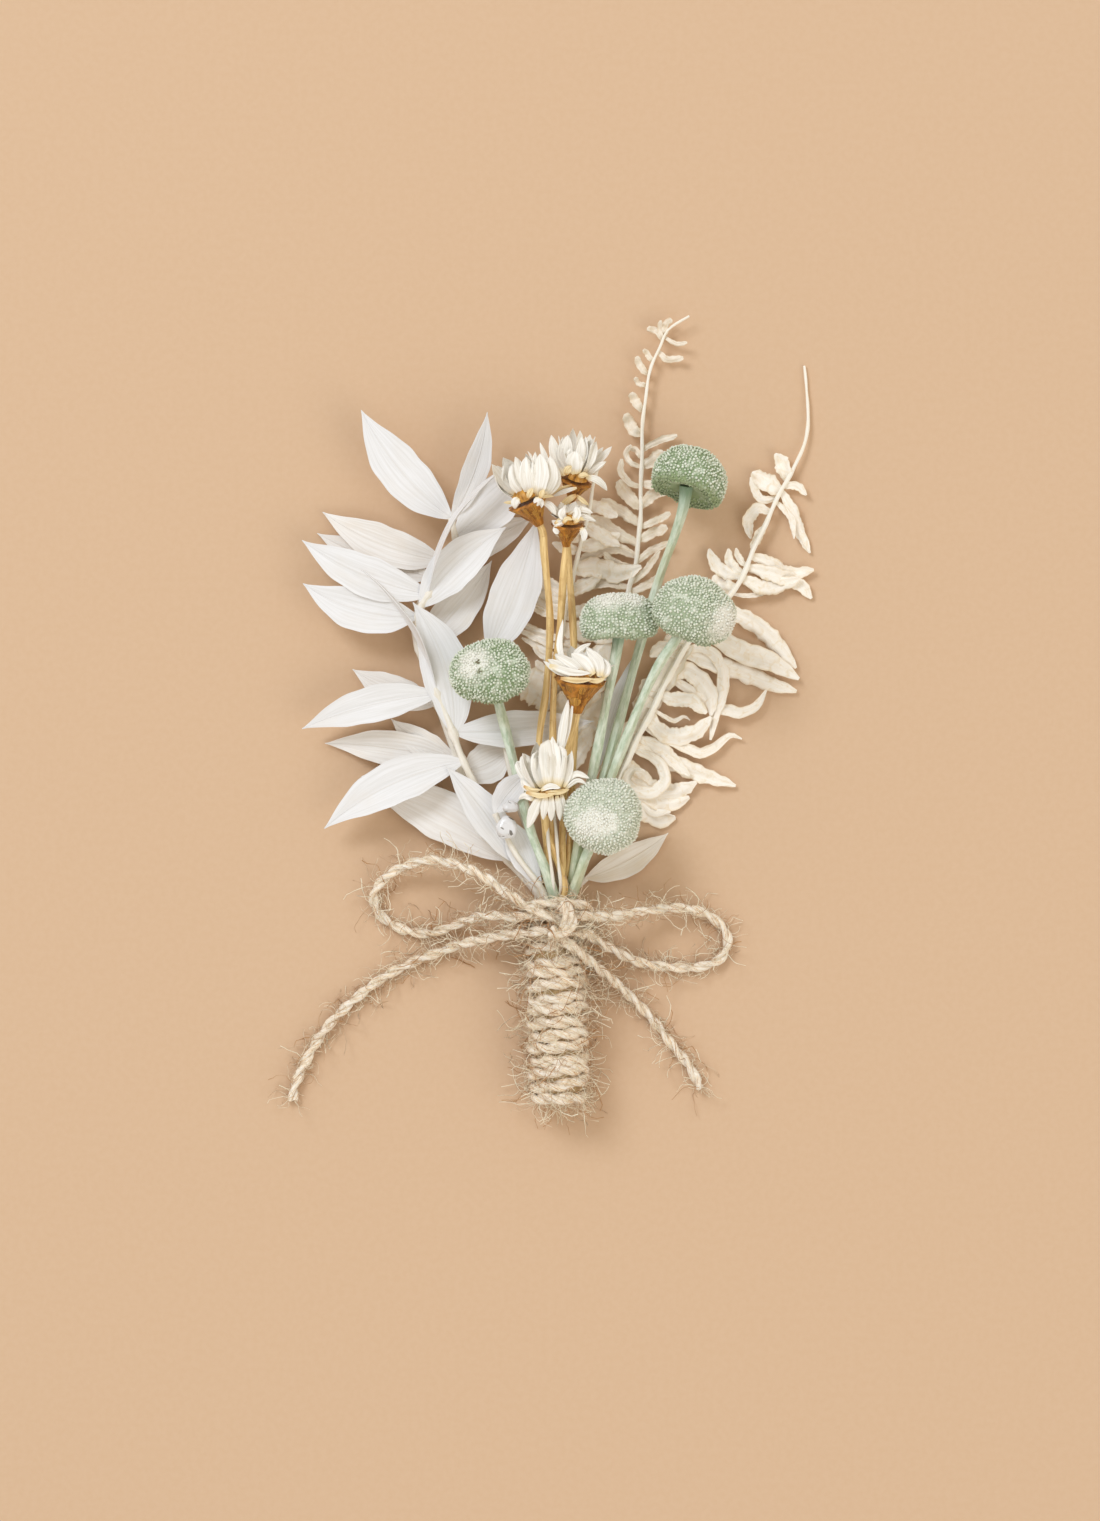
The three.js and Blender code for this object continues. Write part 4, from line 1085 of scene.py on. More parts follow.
@dataclass
class Stage:
    """Camera, table and soft studio light."""

    centre: Place = (-1.7, -9.1)  # the frame's middle over the bunch
    view_height: float = 273.78  # millimetres from the frame's foot to its head
    distance: float = 1500.0
    focus_height: float = 8.0
    sensor: float = 36.0
    clip: Place = (0.05, 20.0)  # metres
    table_half: float = 1600.0
    room: str = "f9f2e9"
    room_strength: float = 0.72

    def camera(self) -> None:
        """A long lens straight above the bunch, as the photograph has it."""
        data = bpy.data.cameras.new("camera")
        data.sensor_width = self.sensor
        data.lens = self.sensor * (self.distance - self.focus_height) / self.view_height
        data.clip_start, data.clip_end = self.clip
        camera = linked("camera", data)
        camera.location = (self.centre[0] * MM, self.centre[1] * MM, self.distance * MM)
        bpy.context.scene.camera = camera

    def table(self) -> None:
        """The table top."""
        mesh = bpy.data.meshes.new("table")
        h = self.table_half * MM
        mesh.from_pydata([(-h, -h, 0), (h, -h, 0), (h, h, 0), (-h, h, 0)], [], [(0, 1, 2, 3)])
        mesh.materials.append(PaleTable("uncoated_pale_board").make())
        linked("table", mesh)

    def lamp(self, name: str, at: Point, size: float, watts: float, colour: str) -> None:
        """A square soft box that faces the bunch.

        Args:
            name: the lamp's name.
            at: its place in metres.
            size: its side in metres.
            watts: its power.
            colour: sRGB hex.
        """
        data = bpy.data.lights.new(name, "AREA")
        data.shape, data.size, data.energy = "SQUARE", size, watts
        data.color = linear(colour)[:3]
        lamp = linked(name, data)
        lamp.location = at
        lamp.rotation_mode = "QUATERNION"
        lamp.rotation_quaternion = (-Vector(at)).to_track_quat("-Z", "Y")

    def lights(self) -> None:
        """One large key from the upper left, a weak fill, and a pale room."""
        self.lamp("key", at=(-0.75, 0.85, 1.25), size=0.55, watts=12.5, colour="ebf3ff")
        self.lamp("fill", at=(0.9, -0.6, 1.1), size=1.0, watts=5.0, colour="fff8f0")
        world = bpy.data.worlds.new("room")
        world.use_nodes = True
        world.node_tree.nodes.clear()
        tree = Tree(world.node_tree)
        shine = {"Color": linear(self.room), "Strength": self.room_strength}
        tree.add("ShaderNodeOutputWorld", {"Surface": tree.out("ShaderNodeBackground", shine)})
        bpy.context.scene.world = world
        bpy.context.scene.view_settings.view_transform = "Standard"

    def build(self) -> None:
        """Makes them all."""
        self.camera()
        self.table()
        self.lights()


# ------------------------------------------------------------------ twine


class CordEnd(Enum):
    """What a bow cord's far end does."""

    IN_THE_KNOT = "object"
    CUT = "bare"


@dataclass
class BowCord:
    """A loop or a tail of the bow."""

    node_name: str
    end: CordEnd
    points: list[Point]
    seed: int

    def build(self, maker: TwineMaker) -> None:
        route = Route(self.points)
        name = "twine_" + self.node_name
        piece, *hairs = maker.lay(name, self.node_name, [route.spaced(0.8)], self.seed, label=self.node_name)
        path = (route.spaced(1.0) * MM).tolist()
        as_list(hairs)
        LOG.info("%s: %.1f mm of twine", self.node_name, route.length)


BOW_CORDS = [
    BowCord(
        "bow_loop_left",
        CordEnd.IN_THE_KNOT,
        [
            (-6.6, -34.8, 9.3), (-8.8, -33.6, 9.2), (-11.8, -31.2, 8.9), (-15.4, -29.0, 8.3),
            (-19.6, -27.6, 7.2), (-23.6, -27.0, 6.0), (-27.6, -28.0, 4.4), (-31.4, -30.2, 2.8),
            (-33.6, -33.4, 1.8), (-32.6, -36.8, 1.3), (-28.8, -39.4, 1.2), (-24.4, -40.4, 1.2),
            (-20.4, -39.4, 2.0), (-16.5, -37.8, 3.8), (-12.6, -37.0, 6.0), (-9.0, -37.2, 8.2),
            (-6.35, -37.5, 9.5),
        ],
        101,
    ),
    BowCord(
        "bow_loop_right",
        CordEnd.IN_THE_KNOT,
        [
            (3.75, -37.1, 10.1), (8.9, -37.2, 8.2), (13.9, -36.5, 6.2), (19.2, -35.8, 4.4),
            (24.0, -36.0, 2.8), (28.0, -37.8, 1.8), (30.4, -41.0, 1.3), (29.4, -44.6, 1.2),
            (25.6, -46.4, 1.2), (20.4, -46.5, 1.2), (13.9, -45.4, 2.6), (9.2, -43.0, 5.6), (6.0, -41.0, 8.2),
            (3.85, -39.8, 9.9),
        ],
        102,
    ),
    BowCord(
        "bow_tail_left",
        CordEnd.CUT,
        [
            (-6.35, -40.1, 9.4), (-11.8, -40.9, 6.2), (-17.6, -42.2, 3.2), (-22.2, -43.9, 1.5),
            (-26.7, -45.7, 1.2), (-31.6, -48.2, 1.2), (-37.7, -52.9, 1.2), (-42.4, -57.8, 1.2),
            (-46.0, -63.7, 1.2), (-47.8, -67.6, 1.2), (-48.2, -70.6, 1.2),
        ],
        103,
    ),
    BowCord(
        "bow_tail_right",
        CordEnd.CUT,
        [
            (2.85, -43.0, 11.1), (6.4, -46.0, 8.0), (11.2, -50.2, 3.8), (15.9, -54.9, 1.6),
            (20.4, -60.5, 1.2), (23.6, -64.6, 1.2), (25.5, -68.4, 1.2),
        ],
        104,
    ),
]


@dataclass
class TwineWrap:
    """The twine wound round the stems, turn beside turn."""

    handle: Handle = HANDLE
    seed: int = 105
    sleeve_stations: int = 12
    sleeve_sides: int = 28

    def winding(self) -> Array:
        """The twine's line round the handle, a little uneven, and flat where it rests on the table.

        Returns:
            Places along it.
        """
        half, pitch = CORD_WIDTH / 2, self.handle.pitch
        low, high = self.handle.bottom[1] + half, self.handle.top[1] - half
        turns = (high - low) / pitch + 1.3
        t = np.linspace(0, 1, int(turns * 44))
        angle = 2 * math.pi * turns * t
        y = blend(high + 0.3 * pitch, low - pitch, t)
        y = np.clip(y + 0.34 * np.sin(angle * 0.37 + 1.0) + 0.26 * np.sin(angle * 1.31), low, high)
        reach = self.handle.ridge - half + 0.2 * np.sin(angle * 0.53 + 0.6)
        reach = reach - 0.5 * np.clip(1 - (y - low) / 1.8, 0, 1)
        out = np.stack([reach * np.cos(angle), np.zeros_like(t), reach * np.sin(angle)], axis=1)
        line = self.handle.middle(y) + out
        line[:, 2] = np.maximum(line[:, 2], half + 0.28)
        return line

    def build(self, maker: TwineMaker) -> None:
        """Winds the twine, raises its hairs and closes the view between its turns with painted shade."""
        fuzz, nap = Fuzz(0.36, 8.2, 0.072), Fuzz(0.5, 4.4, 0.06, (1.2, 1.5), 1.8)
        maker.lay("wound_twine", "twine_wrap", [self.winding()], self.seed, (0.72, 0.5, 8.5), fuzz, nap)
        self.sleeve()

    def sleeve(self) -> None:
        """A brown sleeve under the twine, a closed tube with a hollow for the stems, that paints the shade
        seen between the turns.
        """
        n, sides, bore = self.sleeve_stations, self.sleeve_sides, self.handle.bore
        line = self.handle.middle(np.linspace(self.handle.bottom[1] + 2.0, self.handle.top[1] - 0.6, n))
        angle = around(sides)
        circle = np.stack([np.cos(angle), 0 * angle, np.sin(angle)], axis=1)
        outer = [place + (bore + 0.15) * circle for place in line]
        inner = [place + (bore - 0.05) * circle for place in line[::-1]]
        rings = np.array([*outer, *inner, outer[0]])
        shape = Shape()
        shape.loft(rings, np.arange(len(rings)) * 3.0, np.arange(sides + 1) / sides * 26.0)
        # painted shade: the sleeve's browns are what shows dark between the turns
        paper = BleachedStem("painted_shade_sleeve", "dcc496", "a5824f").make()
        settle(shape.piece("sleeve_under_twine", [paper]), "jute", "twine_wrap")


@dataclass
class Knot:
    """The bow's knot: strands laid over the wrap, and one drawn over them."""

    handle: Handle = HANDLE
    seed: int = 106

    def strands(self) -> list[Array]:
        """The strands' lines.

        Returns:
            One array of places for each.
        """
        over = self.handle.over
        routes = [
            [(-8.4, -33.6, 9.2), over(-44, -35.2), over(-24, -36.2), over(0, -37.4), over(18, -38.6)],
            [
                over(-62, -35.8), over(-40, -35.2), over(-10, -34.8), over(20, -34.7), over(44, -35.1),
                over(64, -36.0),
            ],
            [
                (-8.2, -37.3, 8.8), over(-44, -36.9), over(-20, -37.1), over(6, -37.2), over(30, -37.0),
                (5.6, -37.1, 9.6),
            ],
            [
                (-8.0, -40.4, 8.6), over(-44, -40.0), over(-22, -39.7), over(2, -40.0), over(24, -39.9),
                (5.6, -40.3, 9.1),
            ],
            [
                (1.2, -35.2, 12.4), (2.2, -36.5, 13.5), (2.3, -38.1, 13.8), (1.4, -39.8, 13.9),
                (-0.6, -41.0, 13.2),
            ],
            [
                (0.2, -35.0, 12.6), (1.1, -36.4, 13.5), (1.2, -38.2, 13.7), (0.2, -39.8, 13.5),
                (-1.6, -40.6, 12.9),
            ],
            [(-1.6, -39.4, 12.9), (0.2, -40.8, 13.0), (2.0, -42.3, 12.4), (4.2, -44.0, 10.2)],
        ]
        return [Route(points).spaced(0.5) for points in routes]

    def build(self, maker: TwineMaker) -> None:
        """Lays the strands and raises their hairs."""
        maker.lay("tied_knot", "bow_knot", self.strands(), self.seed, (0.56, 0.44, 9.0))


# ------------------------------------------------------------------ ruscus


@dataclass(frozen=True)
class Leaf:
    """A pointed leaf: where it leaves the stem, its tip and its width, how far it bows sideways, arches
    forward and folds up along its edges, how it turns about its length from root to tip (degrees), and
    where it is widest."""

    start: Place
    tip: Point
    width: float
    bow: float = 0.0
    arch: float = 0.4
    fold: float = 0.16
    roll: float = 0.0
    curl: float = 0.0
    peak: float = 0.46


@dataclass
class RuscusSpray:
    """A stem of bleached ruscus with its leaves, and with thin twigs beside it where it has any."""

    name: str
    node_name: str
    slot_name: str
    slot: Place
    stem: list[Point]
    leaves: list[Leaf]
    seed: int
    twigs: list[tuple[Place, list[Point]]] = field(default_factory=list)
    radius: float = 0.68
    thick: float = 0.28
    stations: int = 30
    columns: int = 13
    crinkle: float = 1.0

    def add_leaf(self, shape: Shape, route: Route, leaf: Leaf, draw: Draw) -> None:
        """Adds one leaf.

        Args:
            shape: gathers the spray.
            route: the stem's line.
            leaf: its sizes.
            draw: gives its small irregularities.
        """
        root, end = route.nearest(leaf.start), np.array(leaf.tip)
        chord = end - root
        aside = unit(np.array([chord[1], -chord[0], 0.0]))

        def place(t: Array) -> Array:
            """Places along the leaf's middle."""
            swell = (4 * t * (1 - t))[:, None]
            return root + chord * t[:, None] + aside * leaf.bow * swell + FRONT * leaf.arch * swell

        t = np.linspace(0, 1, self.stations)
        along = unit(place(np.minimum(t + 0.02, 1)) - place(np.maximum(t - 0.02, 0)))
        power = math.log(0.5) / math.log(leaf.peak)
        swell = np.sin(math.pi * np.clip(t, 0, 1) ** power)
        half = leaf.width / 2 * np.maximum(swell, 0) ** blend(0.8, 1.12, t**2)
        half = np.maximum(half, blend(0.34, 0.06, t))[:, None]
        bend = math.pi / 2 * 0.94
        columns = np.sin(np.linspace(-1, 1, self.columns) * bend) / math.sin(bend)
        c, s = np.meshgrid(columns, t)
        out, mid = np.abs(c), np.sin(math.pi * s)
        phase, second = draw.phase(), draw.phase()
        lift = leaf.fold * half * out**1.4
        lift += (0.10 + 0.03 * leaf.width / 8) * np.sin(9.0 * s + phase) * c * out * mid
        lift += 0.09 * self.crinkle * np.sin(15.0 * s + second) * out**2 * mid
        lift -= 0.1 * np.exp(-((c / 0.08) ** 2)) * mid**0.5
        edge = 1 + 0.025 * np.sin(17 * s + second) * out + 0.02 * np.sin(31 * s + phase + c) * out
        frames = faced(along, np.radians(leaf.roll + leaf.curl * t))
        run = t * float(np.linalg.norm(chord)) + 60 * draw()
        shape.blade(place(t), frames, half * edge, lift, columns, self.thick, run, draw())

    def build(self, leaf_finish: Material, stem_finish: Material) -> None:
        """Builds the spray as one piece.

        Args:
            leaf_finish: the leaves' material.
            stem_finish: the stem's material.
        """
        draw = Draw(self.seed)
        shape = Shape()
        route = HANDLE.stem(self.slot, self.stem)
        for leaf in self.leaves:
            self.add_leaf(shape, route, leaf, draw)
        line = route.spaced(0.9)
        share = np.linspace(0, 1, len(line))
        radius = self.radius * blend(1.2, 0.7, share) * (1 + 0.06 * np.sin(share * 61))
        for leaf in self.leaves:  # the stem swells where a leaf leaves it
            gap = np.linalg.norm(line - route.nearest(leaf.start), axis=1)
            radius = radius * (1 + 0.35 * np.exp(-((gap / 0.9) ** 2)))
        shape.tube(line, radius, 10, draw(), kind=1)
        for slot, points in self.twigs:
            line = HANDLE.stem(slot, points).spaced(0.9)
            shape.tube(line, 0.3 * (1 + 0.15 * np.sin(line[:, 1])), 8, draw(), kind=1)
        settle(shape.piece(self.name, [leaf_finish, stem_finish]), self.slot_name, self.node_name)


SPRAYS = [
    RuscusSpray(
        "front_ruscus_spray",
        "ruscus_spray_front",
        "bleached_leaf",
        (-1.5, 1),
        [
            (-5.2, -31.0, 6.2), (-8.4, -26.6, 6.2), (-12.0, -20.5, 6.2), (-15.2, -13.6, 6.2),
            (-17.6, -8.5, 6.2), (-19.7, -2.7, 6.2), (-22.6, 4.6, 6.2), (-24.8, 11.5, 6.2),
            (-25.4, 17.5, 6.2), (-22.0, 23.0, 6.4), (-18.8, 28.6, 6.6), (-19.4, 34.6, 6.8),
        ],
        [
            Leaf((-19.4, 34.6), (-35.7, 54.0, 7.5), 8.3, bow=-1.6, arch=0.8),
            Leaf((-19.4, 34.6), (-13.0, 53.6, 8.0), 4.9, bow=1.2, arch=0.6, roll=20),
            Leaf((-18.9, 31.0), (-5.0, 45.6, 6.4), 8.6, bow=0.8, arch=-0.6),
            Leaf((-25.4, 22.4), (-46.4, 30.6, 6.0), 7.4, bow=-1.4, arch=0.8),
            Leaf((-25.0, 18.4), (-9.6, 32.9, 7.6), 7.8, bow=-1.2, arch=0.8),
            Leaf((-25.4, 16.8), (-46.2, 22.8, 5.8), 7.8, bow=-1.8, arch=0.6),
            Leaf((-19.2, -4.6), (-26.4, 19.4, 7.4), 9.0, bow=2.2, arch=0.1, fold=0.04),
            Leaf((-18.6, -3.6), (6.2, -2.0, 6.0), 6.6, bow=0.3, arch=-0.1),
            Leaf((-22.0, 2.6), (-46.4, -3.4, 5.6), 6.6, bow=1.2, arch=0.8),
            Leaf((-17.8, -9.4), (-42.4, -21.4, 5.0), 8.0, bow=2.0, arch=1.2, curl=18),
            Leaf((-9.2, -28.8), (-20.4, -10.2, 7.4), 6.4, bow=0.6, arch=0.6, roll=12),
            Leaf((-25.4, 22.4), (-9.6, 43.6, 10.4), 4.8, bow=-2.9, arch=2.8, roll=-79, curl=2),
            Leaf((-23.4, 3.0), (-35.6, 25.2, 10.2), 3.6, bow=2.6, arch=1.6, roll=-74, curl=-8),
        ],
        201,
    ),
    RuscusSpray(
        "back_ruscus_spray",
        "ruscus_spray_back",
        "shaded_leaf",
        (-1.5, -1),
        [
            (-4.6, -32.4, 3.3), (-10.4, -25.6, 2.6), (-14.6, -18.0, 2.6), (-17.8, -10.6, 2.6),
            (-21.2, -1.4, 2.6), (-24.4, 7.6, 2.6), (-26.2, 15.0, 2.6), (-24.2, 22.0, 2.6),
            (-20.4, 27.4, 2.6),
        ],
        [
            Leaf((-20.6, 27.0), (-42.8, 35.8, 1.8), 7.0, bow=-1.4, arch=0.8),
            Leaf((-23.0, 24.0), (-43.8, 32.0, 0.35), 6.4, bow=-0.8, arch=0.4),
            Leaf((-20.4, 27.4), (-4.6, 35.0, 3.0), 5.8, bow=0.2, arch=0.4),
            Leaf((-25.4, 11.0), (-12.2, 27.0, 3.2), 7.2, bow=0.8, arch=0.4),
            Leaf((-22.4, 1.2), (-37.4, 7.4, 1.0), 5.8, bow=-0.8, arch=0.6),
            Leaf((-17.8, -9.8), (-30.4, -1.6, 2.0), 5.2, bow=-0.6, arch=0.4),
            Leaf((-18.2, -9.4), (-42.4, -6.0, 0.8), 6.4, bow=0.8, arch=0.8),
            Leaf((-18.0, -10.4), (-35.8, -12.0, 0.9), 4.4, bow=0.4, arch=0.2),
            Leaf((-9.6, -27.2), (-35.6, -13.6, 1.2), 9.0, bow=1.8, arch=0.9),
            Leaf((-14.4, -18.4), (-26.4, -17.6, 1.6), 4.0, bow=0.2, arch=0.2),
            Leaf((-17.6, -11.2), (-8.4, -6.6, 2.8), 7.4, bow=0.6, arch=0.2),
        ],
        202,
    ),
    RuscusSpray(
        "middle_ruscus_sprig",
        "ruscus_sprig_middle",
        "bleached_leaf",
        (-2, 0),
        [(-3.2, -30.0, 4.4), (-7.6, -16.0, 4.8), (-10.6, -2.0, 4.9), (-12.6, 10.6, 4.9)],
        [Leaf((-12.6, 10.6), (-4.2, 34.2, 5.4), 8.8, bow=0.8, arch=0.2, peak=0.42)],
        203,
    ),
    RuscusSpray(
        "low_ruscus_sprig",
        "ruscus_sprig_low",
        "bleached_leaf",
        (-1, 2),
        [(-3.1, -32.4, 7.6), (-7.8, -26.0, 8.6), (-11.6, -18.6, 9.6)],
        [
            Leaf((-11.6, -18.6), (-5.2, -11.2, 9.8), 4.8, bow=-0.6, arch=0.2),
            Leaf((-3.0, -33.0), (-8.8, -19.6, 7.8), 5.4, bow=-0.5, arch=-0.4, peak=0.6, fold=0.05),
        ],
        204,
    ),
    RuscusSpray(
        "narrow_ruscus_sprig",
        "ruscus_sprig_narrow",
        "bleached_leaf",
        (-0.5, -1),
        [(-0.6, -31.6, 3.6), (2.6, -20.0, 4.4), (7.2, -9.9, 5.2)],
        [Leaf((7.2, -9.9), (14.6, 11.4, 5.2), 3.6, bow=-0.4, arch=0, fold=0.08)],
        205,
        [
            ((-0.2, 1.6), [(-1.0, -32.6, 9.0), (-1.4, -28.8, 9.8), (-2.0, -23.6, 10.2), (-2.2, -18.6, 10.0)]),
            ((0.4, 1.8), [(0.2, -32.0, 8.6), (-0.2, -27.4, 9.4), (-0.6, -22.0, 9.8), (-1.0, -18.4, 9.8)]),
        ],
    ),
    RuscusSpray(
        "right_ruscus_leaf",
        "ruscus_leaf_right",
        "shaded_leaf",
        (1, -2),
        [(2.6, -32.6, 1.7), (4.8, -30.4, 1.2)],
        [Leaf((4.8, -30.4), (19.7, -22.2, 1.0), 5.4, bow=0.9, arch=0.1)],
        206,
        crinkle=2.2,
    ),
]


# ------------------------------------------------------------------ fern


@dataclass
class FernFrond:
    """A frond of bleached fern: a midrib with papery leaflets.

    A leaflet's row holds the places x, y of its line seen from the front, one after another, then its
    width, the height of its tip, and how far it waves.
    """

    name: str
    node_name: str
    slot: Place
    rib: list[Point]
    leaflets: list[tuple[float, ...]]
    seed: int
    rib_radius: Place = (0.6, 0.2)
    outline: tuple[float, ...] = (0.45, 0.7, 0.95, 1.0, 0.62, 0.16)
    twist: float = 0.5
    thick: float = 0.11
    stations: int = 26
    columns: int = 9
    ragged: float = 0.08

    def add_leaflet(self, shape: Shape, route: Route, row: Sequence[float], draw: Draw) -> None:
        """Adds one leaflet.

        Args:
            shape: gathers the frond.
            route: the midrib's line.
            row: its line and sizes.
            draw: gives its lobes and curls.
        """
        *path, width, height, wave = row
        start, *rest = pairs(path)
        root = route.nearest(start) - 0.6 * FRONT
        rise = [blend(root[2], height, (i + 1) / len(rest)) for i in range(len(rest))]
        line = Route([root.tolist(), *[(x, y, z) for (x, y), z in zip(rest, rise)]])
        t = np.linspace(0, 1, self.stations)
        centre = line.at(t)
        centre[:, 2] += wave * np.sin(math.pi * 2.2 * t) * np.sin(math.pi * t)
        turn = self.twist * np.sin(math.pi * 1.9 * t + draw.phase())
        turn = turn * np.sin(math.pi * np.clip(t * 0.85 + 0.1, 0, 1))
        half = width / 2 * np.interp(t, (0, 0.12, 0.3, 0.62, 0.88, 1), self.outline)
        half = np.maximum(half, 0.14)[:, None]
        columns = np.linspace(-1, 1, self.columns)
        c, s = np.meshgrid(columns, t)
        a, b, d = draw.phase(), draw.phase(), draw.phase()
        beat = TURN * max(1.5, line.length / 3.0)
        swing = np.abs(c) * np.sin(beat * s + a + 1.7 * np.sign(c))
        lobes = 1 + self.ragged * swing
        lobes += self.ragged * 0.8 * np.abs(c) * np.sin(beat * 2.7 * s + b - 2.1 * np.sign(c))
        lobes += 2.4 * self.ragged * np.clip(s * 4 - 3, 0, 1) * np.sin(9.0 * c + b)
        lift = 0.34 * half * c**2 * np.sin(4 * s + d) + 0.1 * half * np.sin(5 * c + a)
        lift += 0.05 * width * swing * np.sin(math.pi * s)
        frames = faced(unit(np.gradient(centre, axis=0)), turn)
        run = t * line.length + 60 * draw()
        shape.blade(centre, frames, half * lobes, lift, columns, self.thick, run, draw())

    def build(self, leaflet_finish: Material, rib_finish: Material) -> None:
        """Builds the frond as one piece.

        Args:
            leaflet_finish: the leaflets' material.
            rib_finish: the midrib's material.
        """
        draw = Draw(self.seed)
        shape = Shape()
        route = HANDLE.stem(self.slot, self.rib)
        for row in self.leaflets:
            self.add_leaflet(shape, route, row, draw)
        line = route.spaced(0.9)
        share = np.linspace(0, 1, len(line))
        line[:, 0] += 0.15 * np.sin(share * 67 + self.seed) * np.sin(share * 23)
        first, last = self.rib_radius
        radius = np.interp(share, (0, 0.5, 0.8, 1), (first, 0.9 * first, blend(last, first, 0.4), last))
        radius = radius * (1 + 0.07 * np.sin(share * 90) + 0.1 * np.sin(share * 193))
        shape.tube(line, radius, 10, draw(), kind=1, ribs=(3, 0.08))
        for points in shape.points:
            points[:, 2] = np.maximum(points[:, 2], 0.05)
        settle(shape.piece(self.name, [leaflet_finish, rib_finish]), "bleached_fern", self.node_name)


